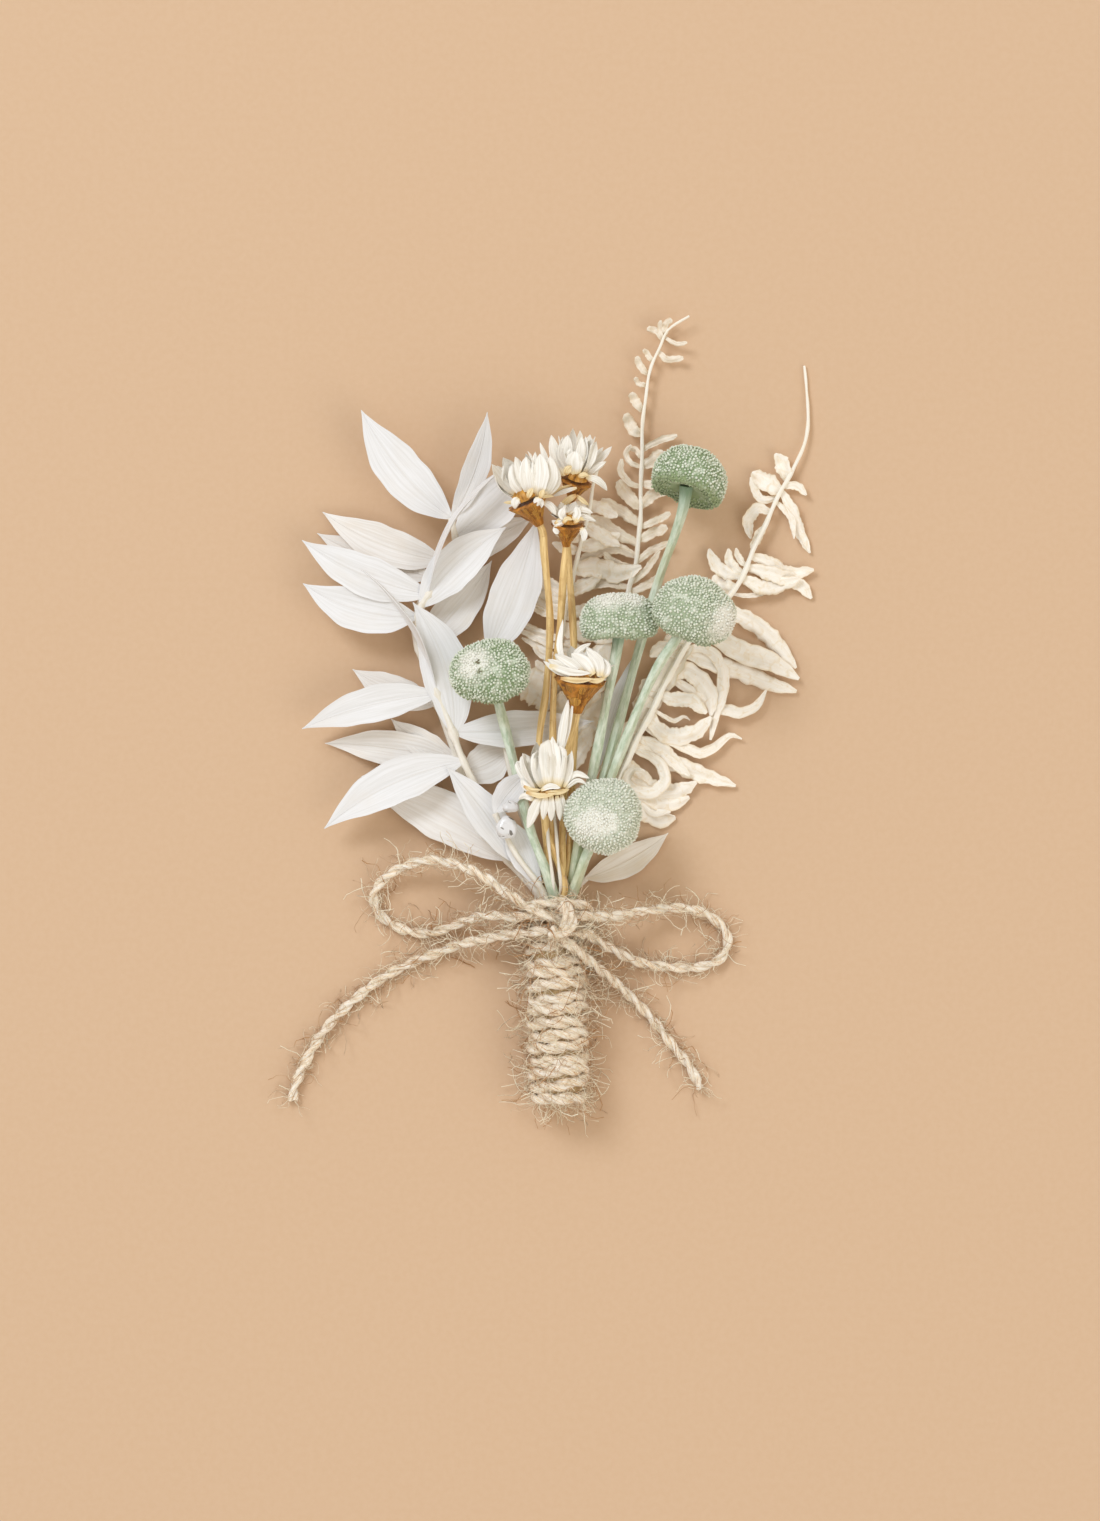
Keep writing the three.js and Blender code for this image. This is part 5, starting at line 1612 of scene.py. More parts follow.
FRONDS = [
    FernFrond(
        "left_fern_frond",
        "fern_frond_left",
        (0, -2),
        [
            (2.0, -29.0, 2.6), (5.2, -13.0, 2.6), (8.6, 2.0, 2.6), (11.4, 15.0, 2.8), (12.7, 22.3, 2.8),
            (13.9, 27.5, 2.8), (14.8, 41.6, 2.6), (15.2, 54.5, 2.4), (16.5, 61.6, 2.4), (18.1, 65.5, 2.6),
            (19.6, 68.6, 2.8), (23.4, 71.2, 3.0),
        ],
        [
            (14.7, 40.7, 17.2, 40.9, 19.7, 43.6, 2.0, 2.8, 1.0),
            (14.5, 36.9, 16.6, 38.7, 20.1, 40.1, 2.2, 2.6, 1.0),
            (14.3, 33.1, 16.8, 34.0, 20.1, 35.6, 1.4, 2.4, 0.6),
            (14.1, 30.4, 16.8, 31.9, 19.5, 33.1, 2.0, 2.2, 0.8),
            (13.4, 26.1, 16.1, 28.6, 20.1, 30.4, 1.4, 2.2, 0.8),
            (12.9, 22.7, 15.6, 25.2, 18.1, 28.8, 1.3, 2.6, 0.6),
            (12.5, 21.2, 15.2, 22.3, 18.4, 24.3, 1.6, 2.2, 0.8),
            (14.8, 44.1, 16.6, 45.0, 18.8, 46.8, 2.2, 1.8, 0.8),
            (14.8, 46.8, 17.2, 48.4, 21.3, 49.7, 1.3, 1.8, 0.5),
            (17.6, 64.8, 19.5, 63.4, 22.4, 63.7, 1.3, 2.4, 0.5),
            (14.5, 36.4, 12.7, 38.3, 10.5, 41.4, 2.5, 2.6, 0.8),
            (14.7, 40.3, 12.7, 41.0, 11.1, 43.2, 11.2, 45.4, 1.3, 3.0, 0.5),
            (14.7, 43.6, 13.0, 44.6, 12.0, 46.4, 13.0, 47.9, 1.1, 3.0, 0.4),
            (14.8, 45.7, 13.8, 47.0, 12.2, 47.5, 1.1, 2.2, 0.5),
            (14.8, 50.0, 13.2, 50.8, 12.0, 53.6, 2.2, 2.8, 0.9),
            (15.0, 54.4, 14.1, 55.1, 13.0, 57.4, 1.8, 2.8, 0.8),
            (15.4, 58.3, 14.5, 59.0, 13.6, 60.1, 1.1, 2.8, 0.6),
            (16.1, 60.8, 15.0, 61.6, 13.9, 63.9, 1.4, 2.8, 0.6),
            (17.0, 63.0, 16.1, 64.1, 15.2, 65.2, 1.1, 2.8, 0.5),
            (13.9, 33.5, 10.9, 36.0, 7.5, 38.0, 2.3, 2.8, 0.7),
            (13.8, 30.1, 10.5, 31.9, 6.9, 34.2, 4.4, 34.2, 2.3, 2.4, 0.6),
            (13.4, 27.7, 10.2, 29.2, 6.9, 28.4, 4.0, 27.7, 2.0, 2.0, 0.5),
            (13.0, 25.9, 10.2, 26.6, 8.0, 28.4, 1.4, 3.2, 0.8),
            (12.7, 24.1, 9.1, 25.9, 5.5, 26.6, 2.6, 26.6, 2.2, 2.2, 0.5),
            (12.3, 22.0, 8.4, 23.0, 4.8, 22.3, 2.2, 20.9, 1.8, 1.6, 0.4),
            (18.8, 67.0, 17.4, 68.6, 15.8, 68.8, 1.3, 3.0, 0.6),
            (19.0, 67.7, 19.3, 69.7, 20.2, 70.7, 1.3, 3.2, 0.5),
            (19.5, 67.3, 21.0, 66.2, 23.1, 66.4, 0.9, 3.0, 0.4),
            (18.8, 67.0, 18.1, 68.8, 18.3, 70.4, 0.9, 3.4, 0.4),
        ],
        301,
        outline=(0.5, 0.75, 0.95, 1.0, 0.85, 0.4),
        twist=0.3,
    ),
    FernFrond(
        "middle_fern_frond",
        "fern_frond_middle",
        (-1, -2),
        [
            (-1.8, -28.0, 2.6), (-1.4, -14.0, 3.0), (-1.0, 0.0, 3.4), (-0.4, 10.0, 3.8), (1.0, 17.0, 4.0),
            (2.1, 22.0, 4.2), (3.4, 28.8, 4.4), (5.1, 34.4, 4.6), (5.9, 39.6, 4.6), (6.8, 44.0, 4.4),
        ],
        [
            (5.5, 36.9, 7.6, 36.4, 10.5, 34.9, 2.5, 3.8, 0.4),
            (4.8, 33.3, 7.3, 31.7, 10.9, 29.7, 2.7, 3.4, 0.4),
            (4.0, 29.2, 7.3, 30.2, 10.9, 31.9, 2.7, 3.2, 0.4),
            (3.3, 25.2, 6.6, 25.9, 10.5, 24.7, 14.8, 25.9, 3.8, 3.2, 0.3),
            (2.4, 21.6, 4.8, 22.7, 7.6, 24.5, 2.7, 3.6, 0.4),
            (1.2, 16.6, 3.0, 17.6, 5.5, 19.1, 2.3, 3.6, 0.4),
            (5.1, 36.0, 3.3, 36.7, 1.2, 35.6, 2.2, 4.4, 0.4),
            (4.2, 32.0, 2.2, 31.3, -1.0, 32.4, 2.3, 4.2, 0.4),
            (3.7, 28.8, 1.2, 29.2, -1.3, 30.2, 2.0, 3.6, 0.4),
            (2.2, 21.2, -1.3, 22.3, -5.0, 25.9, 2.7, 2.8, 0.25),
            (1.9, 19.8, -1.7, 20.5, -6.0, 23.4, 2.3, 3.4, 0.25),
            (1.3, 18.4, -2.1, 18.7, -6.4, 20.9, 2.2, 2.8, 0.25),
            (1.2, 16.9, -2.4, 17.5, -6.4, 19.3, 1.6, 3.4, 0.25),
            (0.8, 12.6, -3.0, 13.7, -7.5, 16.0, 1.6, 3.0, 0.25),
            (0.6, 11.2, -3.3, 12.6, -7.6, 14.6, 1.4, 3.6, 0.25),
            (0.4, 9.7, -3.5, 11.2, -6.8, 13.1, 1.4, 3.2, 0.25),
            (0.6, 8.6, -2.4, 9.5, -4.8, 11.2, 1.3, 3.6, 0.25),
            (0.6, 14.8, 4.8, 14.0, 9.8, 12.6, 3.6, 3.0, 0.3),
            (0.4, 11.5, 4.8, 9.7, 9.4, 6.8, 3.2, 3.6, 0.3),
            (0.3, 9.7, 4.0, 7.6, 8.0, 4.7, 2.9, 4.2, 0.3),
            (0.4, 12.6, 3.0, 11.5, 5.8, 9.0, 1.4, 4.6, 0.3),
            (-0.6, -1.1, 3.0, 1.8, 6.2, 6.1, 8.7, 12.6, 6.1, 2.4, 0.3),
            (-0.3, -5.4, 4.4, -2.2, 8.4, 2.9, 5.8, 2.2, 0.3),
            (0.1, 1.1, -3.5, 3.6, -7.1, 5.0, -10.3, 3.6, 6.5, 2.0, 0.3),
            (-0.6, 3.6, -2.8, 6.8, -4.2, 9.0, 2.2, 3.6, 0.3),
            (-1.3, -11.9, 2.2, -9.0, 5.8, -3.2, 4.0, 2.4, 0.3),
        ],
        302,
        rib_radius=(0.55, 0.3),
        outline=(0.6, 0.85, 1.0, 0.95, 0.6, 0.2),
        twist=0.25,
    ),
    FernFrond(
        "right_fern_frond",
        "fern_frond_right",
        (1.5, -1),
        [
            (3.8, -29.0, 3.7), (9.1, -16.2, 3.4), (11.4, -11.0, 3.2), (17.2, 1.1, 3.2), (22.4, 10.8, 3.2),
            (31.9, 22.3, 3.2), (35.9, 30.8, 2.8), (39.7, 39.1, 2.2), (42.2, 43.6, 1.8), (44.4, 48.1, 1.4),
            (44.9, 54.5, 0.9), (44.2, 62.3, 0.5),
        ],
        [
            (41.1, 41.8, 40.4, 44.3, 39.0, 46.4, 2.9, 2.0, 0.6),
            (39.9, 39.6, 37.4, 41.0, 34.8, 43.0, 3.6, 1.6, 0.5),
            (39.3, 38.3, 36.8, 38.0, 35.2, 39.8, 34.5, 42.1, 1.6, 2.6, 0.4),
            (40.4, 40.7, 42.6, 40.7, 44.7, 38.9, 1.6, 1.8, 0.1),
            (39.7, 39.6, 41.9, 36.4, 43.5, 32.2, 45.3, 28.4, 2.2, 0.9, 0.5),
            (40.2, 37.3, 41.9, 34.6, 42.4, 31.0, 1.3, 2.0, 0.3),
            (38.4, 35.5, 35.9, 36.4, 34.1, 34.4, 34.6, 31.0, 2.3, 1.8, 0.5),
            (36.8, 33.5, 35.7, 31.0, 34.6, 29.2, 1.8, 2.4, 0.3),
            (32.9, 24.3, 30.0, 24.8, 27.8, 27.0, 27.1, 29.2, 2.5, 1.4, 0.6),
            (32.7, 25.2, 30.9, 26.6, 30.5, 29.2, 1.8, 2.6, 0.4),
            (33.4, 26.5, 32.3, 27.7, 31.9, 29.3, 1.3, 3.0, 0.3),
            (32.1, 22.1, 29.6, 22.5, 27.8, 24.3, 3.2, 1.8, 0.5),
            (34.3, 28.3, 37.5, 26.8, 41.5, 24.8, 46.0, 25.4, 2.7, 1.4, 0.7),
            (33.2, 23.9, 36.6, 22.3, 41.1, 23.0, 43.5, 23.8, 2.9, 2.4, 0.6),
            (40.4, 23.4, 43.3, 22.7, 45.6, 20.2, 2.9, 0.8, 0.7),
            (32.5, 19.8, 34.6, 20.7, 38.6, 21.4, 0.9, 1.2, 0.2),
            (31.2, 17.3, 34.8, 15.8, 38.4, 12.8, 41.1, 9.9, 42.8, 7.6, 3.4, 1.1, 0.25),
            (29.2, 11.5, 33.4, 10.4, 38.6, 8.5, 43.3, 5.6, 4.1, 1.6, 0.2),
            (27.4, 6.8, 32.9, 6.7, 38.2, 4.7, 42.9, 3.4, 3.4, 1.0, 0.3),
            (25.3, 2.9, 29.2, 0.4, 33.2, -0.4, 35.7, 0.9, 37.4, 3.6, 2.3, 1.6, 0.2),
            (18.4, -4.7, 22.1, -6.5, 25.6, -7.7, 28.5, -6.3, 30.9, -4.5, 33.0, -5.2, 2.0, 1.2, 0.2),
            (22.4, 9.2, 24.4, 11.2, 27.4, 10.5, 29.5, 7.4, 29.5, 3.6, 28.3, -0.4, 27.3, -5.4, 2.3, 3.0, 0.2),
            (19.4, 5.4, 22.6, 7.2, 25.6, 5.4, 27.4, 2.2, 27.4, -1.0, 3.4, 3.2, 0.2),
            (17.9, 2.6, 20.3, 2.0, 23.6, 1.7, 26.6, -0.6, 2.9, 3.6, 0.2),
            (16.2, -0.2, 17.4, -3.0, 20.6, -4.8, 24.6, -4.0, 27.4, -1.2, 3.3, 3.8, 0.2),
            (18.6, -0.6, 20.6, -1.9, 22.6, -1.2, 23.6, -1.8, 0.9, 2.0, 0.2),
            (22.4, 11.4, 18.7, 6.4, 15.7, 1.2, 13.1, -4.8, 10.8, -10.0, 3.4, 2.7, 0.3),
            (23.5, 11.7, 20.2, 7.6, 17.4, 3.6, 14.8, -1.1, 12.7, -6.1, 4.7, 1.6, 0.3),
            (18.4, 3.6, 16.3, 4.7, 14.5, 3.2, 2.5, 2.0, 0.4),
            (17.2, 0.9, 15.0, 1.8, 13.4, 0.4, 2.5, 1.6, 0.4),
            (14.5, -4.5, 12.7, -3.2, 10.9, -5.4, 2.5, 1.6, 0.4),
            (21.3, 9.9, 18.8, 11.2, 16.3, 9.7, 2.9, 2.4, 0.4),
            (23.5, 12.6, 21.0, 13.3, 18.8, 12.2, 2.2, 2.0, 0.4),
            (16.3, -7.6, 20.2, -9.4, 25.3, -11.5, 31.9, -13.7, 3.2, 0.9, 0.15),
            (15.9, -5.8, 18.6, -7.2, 21.0, -9.7, 23.5, -11.9, 2.7, 2.2, 0.3),
            (
                15.0, -7.6, 17.9, -9.4, 19.0, -12.4, 17.0, -14.8, 13.6, -14.4, 12.2, -12.4, 13.4, -10.6,
                15.4, -11.0, 2.3, 4.6, 0.3,
            ),
            (14.5, -10.8, 17.2, -14.8, 21.3, -14.8, 24.8, -13.0, 4.0, 1.6, 0.4),
            (13.8, -13.0, 17.2, -16.0, 20.6, -16.7, 23.5, -15.7, 3.6, 1.0, 0.4),
            (13.0, -14.4, 15.6, -18.0, 18.1, -19.8, 21.0, -19.4, 4.0, 0.8, 0.4),
            (13.4, -13.7, 15.2, -16.6, 17.2, -18.4, 20.1, -18.4, 2.2, 2.4, 0.5),
        ],
        303,
        rib_radius=(0.68, 0.24),
        twist=0.28,
    ),
]


# ------------------------------------------------------------------ button flowers


class FloretMaker:
    """Packs florets over a flower head."""

    SPACING = 0.46
    RADIUS = 0.27
    HEIGHT = 0.36
    DENSEST = 2.0e7  # spots for each square metre, before the near ones are taken out
    LEAN = 0.35

    def __init__(self, wool: Material) -> None:
        """Builds the tree once, and keeps the florets' material."""
        self.wool = wool
        self.tree = self.floret_tree()

    def floret_tree(self) -> GeometryTree:
        """The tree that stands a small blunt cone on each of many evenly spaced spots.

        Returns:
            The tree. It keeps the head under them, and stores each floret's tone and height.
        """
        tree = GeometryTree("packed_florets", ("Spacing", "Floret radius", "Floret height"), ["Seed"])
        given = tree.given
        radius, height, seed = given["Floret radius"], given["Floret height"], given["Seed"]
        cover = tree.out("GeometryNodeInputNamedAttribute", {"Name": "cover"}, data_type="FLOAT")
        limit = {0: cover, 1: 0.5}
        crowd = {
            "Mesh": given["Geometry"],
            "Selection": tree.out("FunctionNodeCompare", limit, data_type="FLOAT", operation="GREATER_THAN"),
            "Distance Min": given["Spacing"],
            "Density Max": self.DENSEST,
            "Seed": seed,
        }
        spots = tree.add("GeometryNodeDistributePointsOnFaces", crowd, distribute_method="POISSON")
        sizes = {
            "Vertices": 6,
            "Side Segments": 2,
            "Fill Segments": 1,
            "Radius Top": tree.math("MULTIPLY", radius, 0.4),
            "Radius Bottom": radius,
            "Depth": height,
        }
        cone = tree.out("GeometryNodeMeshCone", sizes, fill_type="NGON")
        place = tree.add("ShaderNodeSeparateXYZ", {0: tree.out("GeometryNodeInputPosition")}).outputs[2]
        # each floret's height, which its finish turns into painted shade at the foot and a painted highlight
        # at the tip
        marked = tree.store(cone, "tip", tree.math("DIVIDE", place, height))
        lean = {0: (-self.LEAN, -self.LEAN, 0.0), 1: (self.LEAN, self.LEAN, TURN), "Seed": seed}
        tilt = tree.out("FunctionNodeRandomValue", lean, data_type="FLOAT_VECTOR")
        florets = tree.planted(spots, marked, tilt, tree.random(0.7, 1.3, 5), 23)
        joined = tree.add("GeometryNodeJoinGeometry")
        tree.tree.links.new(given["Geometry"], joined.inputs[0])
        tree.tree.links.new(florets, joined.inputs[0])
        return tree.close(joined.outputs[0])

    def pack(self, name: str, head: bpy.types.Mesh, seed: int) -> bpy.types.Object:
        """A head with its florets."""
        values = {
            "Spacing": self.SPACING * MM,
            "Floret radius": self.RADIUS * MM,
            "Floret height": self.HEIGHT * MM,
            "Seed": seed,
            "Finish": self.wool,
        }
        return self.tree.run(name, head, values)


@dataclass
class ButtonFlower:
    """A sage button flower: a domed head of packed florets on a ribbed stem.

    Patches are pale places on the head with their reach, and holes are places, seen from the front,
    where the head under the florets is painted dark brown as shade in a hollow.
    """

    number: int
    head: Point
    axis: Point
    radius: float
    squash: float
    slot: Place
    stem: list[Point]
    patches: list[tuple[Point, float]] = field(default_factory=list)
    paleness: float = 0.0
    holes: tuple[Place, ...] = ()
    dome: float = 5.6
    under: float = 2.0
    stem_radius: float = 0.85
    rings: int = 22
    sides: int = 56

    def head_mesh(self) -> bpy.types.Mesh:
        """The head under its florets, a little uneven, with the marks that the florets read.

        Returns:
            The mesh, in metres.
        """
        arc = np.linspace(-0.5, math.pi / 2, self.rings)[:-1]
        full = [(math.cos(a) ** 0.84, math.copysign(abs(math.sin(a)) ** 0.92, a)) for a in arc]
        foot = [(self.radius * 0.45, -self.under), (self.radius * 0.74, -self.under * 1.12)]
        profile = np.array([*foot, *[(self.radius * r, self.dome * z) for r, z in full]])
        angle = around(self.sides)
        r, z = profile[:, 0][:, None], profile[:, 1][:, None]
        uneven = 1 + 0.035 * np.sin(3 * angle + self.number)[None, :] + 0.02 * np.sin(7 * angle + 2 * z / 3)
        x, y = r * np.cos(angle) * uneven, r * np.sin(angle) * uneven * self.squash
        points = np.stack([x, y, z + 0 * angle], axis=-1)
        points[..., 2] += 0.22 * np.sin(4 * angle + self.number)[None, :] * (r / self.radius)
        low = np.clip((-points[..., 2] - 0.6) / 1.8, 0, 1)
        cover = (r + 0 * angle > self.radius * 0.5) | (z + 0 * angle > 0)
        points = np.concatenate([points.reshape(-1, 3), [[0, 0, -self.under * 0.55], [0, 0, self.dome]]])
        low = np.concatenate([low.ravel(), [1.0, 0.0]])
        cover = np.concatenate([cover.ravel(), [False, True]]).astype(float)
        world = points @ turn_from_up(self.axis).T + np.array(self.head)
        pale = np.zeros(len(world))
        for centre, reach in self.patches:
            gap = np.linalg.norm(world - np.array(centre), axis=1)
            gap = gap + 0.6 * np.sin(world[:, 0] * 2.3 + 1) * np.sin(world[:, 1] * 2.9)
            pale = np.maximum(pale, np.clip(1.9 - 1.4 * gap / reach, 0, 1))
        pale = np.maximum(pale, self.paleness)
        # painted shade: at each hole the head under the florets turns dark brown and loses its paleness
        for hole in self.holes:
            gap = np.linalg.norm(world[:, :2] - np.array(hole), axis=1)
            hollow = (gap < 0.55) & (world[:, 2] > self.head[2])
            low = np.where(hollow, 2.0, low)
            pale = np.where(hollow, 0, pale)
        mesh = bpy.data.meshes.new(f"head_{self.number}")
        mesh.from_pydata((world * MM).tolist(), [], self.head_faces(len(profile)))
        for name, values in (("low", low), ("cover", cover), ("pale", pale)):
            write_numbers(mesh, name, values)
        return mesh

    def head_faces(self, n: int) -> list[tuple[int, ...]]:
        """The faces between n rings, and those that shut the foot and the top."""
        m = self.sides
        faces = [
            (i * m + j, i * m + (j + 1) % m, (i + 1) * m + (j + 1) % m, (i + 1) * m + j)
            for i in range(n - 1)
            for j in range(m)
        ]
        faces += [(n * m, (j + 1) % m, j) for j in range(m)]
        return faces + [(n * m + 1, (n - 1) * m + j, (n - 1) * m + (j + 1) % m) for j in range(m)]

    def build(self, maker: FloretMaker, stem_finish: Material) -> None:
        """Builds head and stem as two pieces.

        Args:
            maker: packs the florets.
            stem_finish: the stem's material.
        """
        head = maker.pack(f"sage_button_{self.number}", self.head_mesh(), 400 + self.number)
        settle(head, "sage_head", f"button_head_{self.number}")
        shape = Shape()
        line = HANDLE.stem(self.slot, self.stem).spaced(0.7)
        share = np.linspace(0, 1, len(line))
        left = (1 - share) * len(line) * 0.7
        radius = self.stem_radius * np.interp(share, (0, 0.25, 0.5, 1), (0.62, 0.8, 1, 0.95))
        radius = radius * (1 + 0.1 * np.sin(share * 33 + self.number)) + 0.4 * np.exp(-left / 2.4)
        shape.tube(line, radius, 14, share, ribs=(5, 0.09))
        piece = shape.piece(f"sage_stem_{self.number}", [stem_finish])
        settle(piece, "sage_stem", f"button_stem_{self.number}")


BUTTONS = [
    ButtonFlower(
        1, (23.4, 41.3, 11.4), (0.3, 0.88, -0.32), 6.7, 0.86, (0.5, -1),
        [
            (1.4, -31.4, 4.3), (5.0, -21.0, 6.2), (8.2, -11.0, 6.9), (14.6, 12.1, 6.6), (18.1, 24.3, 6.6),
            (20.4, 30.6, 8.0), (22.2, 36.4, 11.0), (22.72, 40.2, 11.95),
        ],
        [],
    ),
    ButtonFlower(
        2, (10.6, 15.7, 12.6), (-0.02, 0.99, 0.12), 6.9, 0.74, (1, 0),
        [
            (1.9, -31.6, 5.5), (3.6, -23.0, 7.0), (6.0, -11.0, 8.5), (8.9, 3.8, 10.6), (10.2, 10.6, 12.2),
            (10.7, 14.0, 12.4),
        ],
        [((8.9, 20.9, 15.4), 3.6), ((13.2, 20.9, 15.4), 2.8)],
        paleness=0.16, dome=5.0, under=1.3,
    ),
    ButtonFlower(
        3, (24.0, 17.5, 17.0), (0.42, 0.72, 0.55), 7.4, 0.84, (2, 0),
        [
            (2.75, -32.6, 5.25), (5.8, -23.0, 6.9), (9.7, -11.0, 8.4), (17.2, 7.0, 12.0), (20.8, 12.6, 14.4),
            (22.9, 16.05, 16.1),
        ],
        [((29.6, 15.6, 19.6), 3.8)],
        paleness=0.2,
    ),
    ButtonFlower(
        4, (-12.4, 6.8, 13.6), (-0.2, 0.62, 0.75), 7.1, 0.8, (0, 2),
        [
            (-1.0, -33.6, 8.1), (-2.6, -28.6, 9.0), (-5.3, -21.4, 9.0), (-8.5, -8.5, 8.6), (-11.0, 1.4, 9.6),
            (-11.6, 4.0, 10.6), (-12.1, 5.6, 12.4),
        ],
        [((-15.4, 8.4, 17.6), 3.1)],
        dome=5.0, holes=((-14.6, 8.4), (-14.3, 6.9)),
    ),
    ButtonFlower(
        5, (7.9, -19.0, 14.4), (0.06, 0.12, 0.99), 6.8, 0.96, (1.5, 1),
        [(2.7, -31.4, 7.2), (4.6, -26.6, 8.6), (6.8, -21.8, 9.9), (7.8, -19.3, 12.8)],
        [((6.2, -20.3, 19.8), 3.4), ((8.6, -20.2, 20.0), 2.4), ((4.4, -21.0, 19.0), 2.4)],
        paleness=0.5,
    ),
]


# ------------------------------------------------------------------ daisies


@dataclass(frozen=True)
class Whorl:
    """A ring of bracts: how many, how far they open and close again (degrees), their sizes, and the
    part of the ring that they fill (degrees)."""

    count: int
    opening: float
    hug: float
    length: float
    width: float
    start: float = 0.0
    stop: float = 360.0


BRACT_OUTLINE = ((0, 0.2, 0.5, 0.78, 0.92, 1), (0.45, 0.8, 1.0, 0.74, 0.38, 0.05))
BLUNT_OUTLINE = ((0, 0.2, 0.6, 0.88, 0.97, 1), (0.5, 0.8, 1.0, 0.92, 0.6, 0.1))
CUP_OUTLINE = (
    (0.0, -4.6), (0.75, -4.6), (1.15, -3.4), (2.3, -1.5), (3.3, -0.2), (2.9, 0.1), (2.1, -0.1), (0.0, -0.3),
)
CORE_OUTLINE = ((0.0, 0.2), (2.2, 0.6), (2.05, 1.6), (1.2, 2.2), (0.0, 2.3))
SCALE_ROWS = ((0.28, 1.7, 7), (0.52, 1.8, 9), (0.74, 1.7, 12))  # share of the flank, length, count


@dataclass(frozen=True)
class Bract:
    """A bract that faces the front: its line, its width, the heights of its root and tip, how far it
    arches forward, 1 where it is a golden scale, and how blunt its tip is."""

    path: tuple[Place, ...]
    width: float
    heights: Place
    arch: float
    scale: int = 0
    blunt: float = 0.0

    @classmethod
    def of(cls, row: Sequence[float]) -> Bract:
        """The bract of a row, which holds the numbers above one after another."""
        *path, width, root, tip, arch, scale, blunt = row
        return cls(pairs(path), width, (root, tip), arch, scale, blunt)


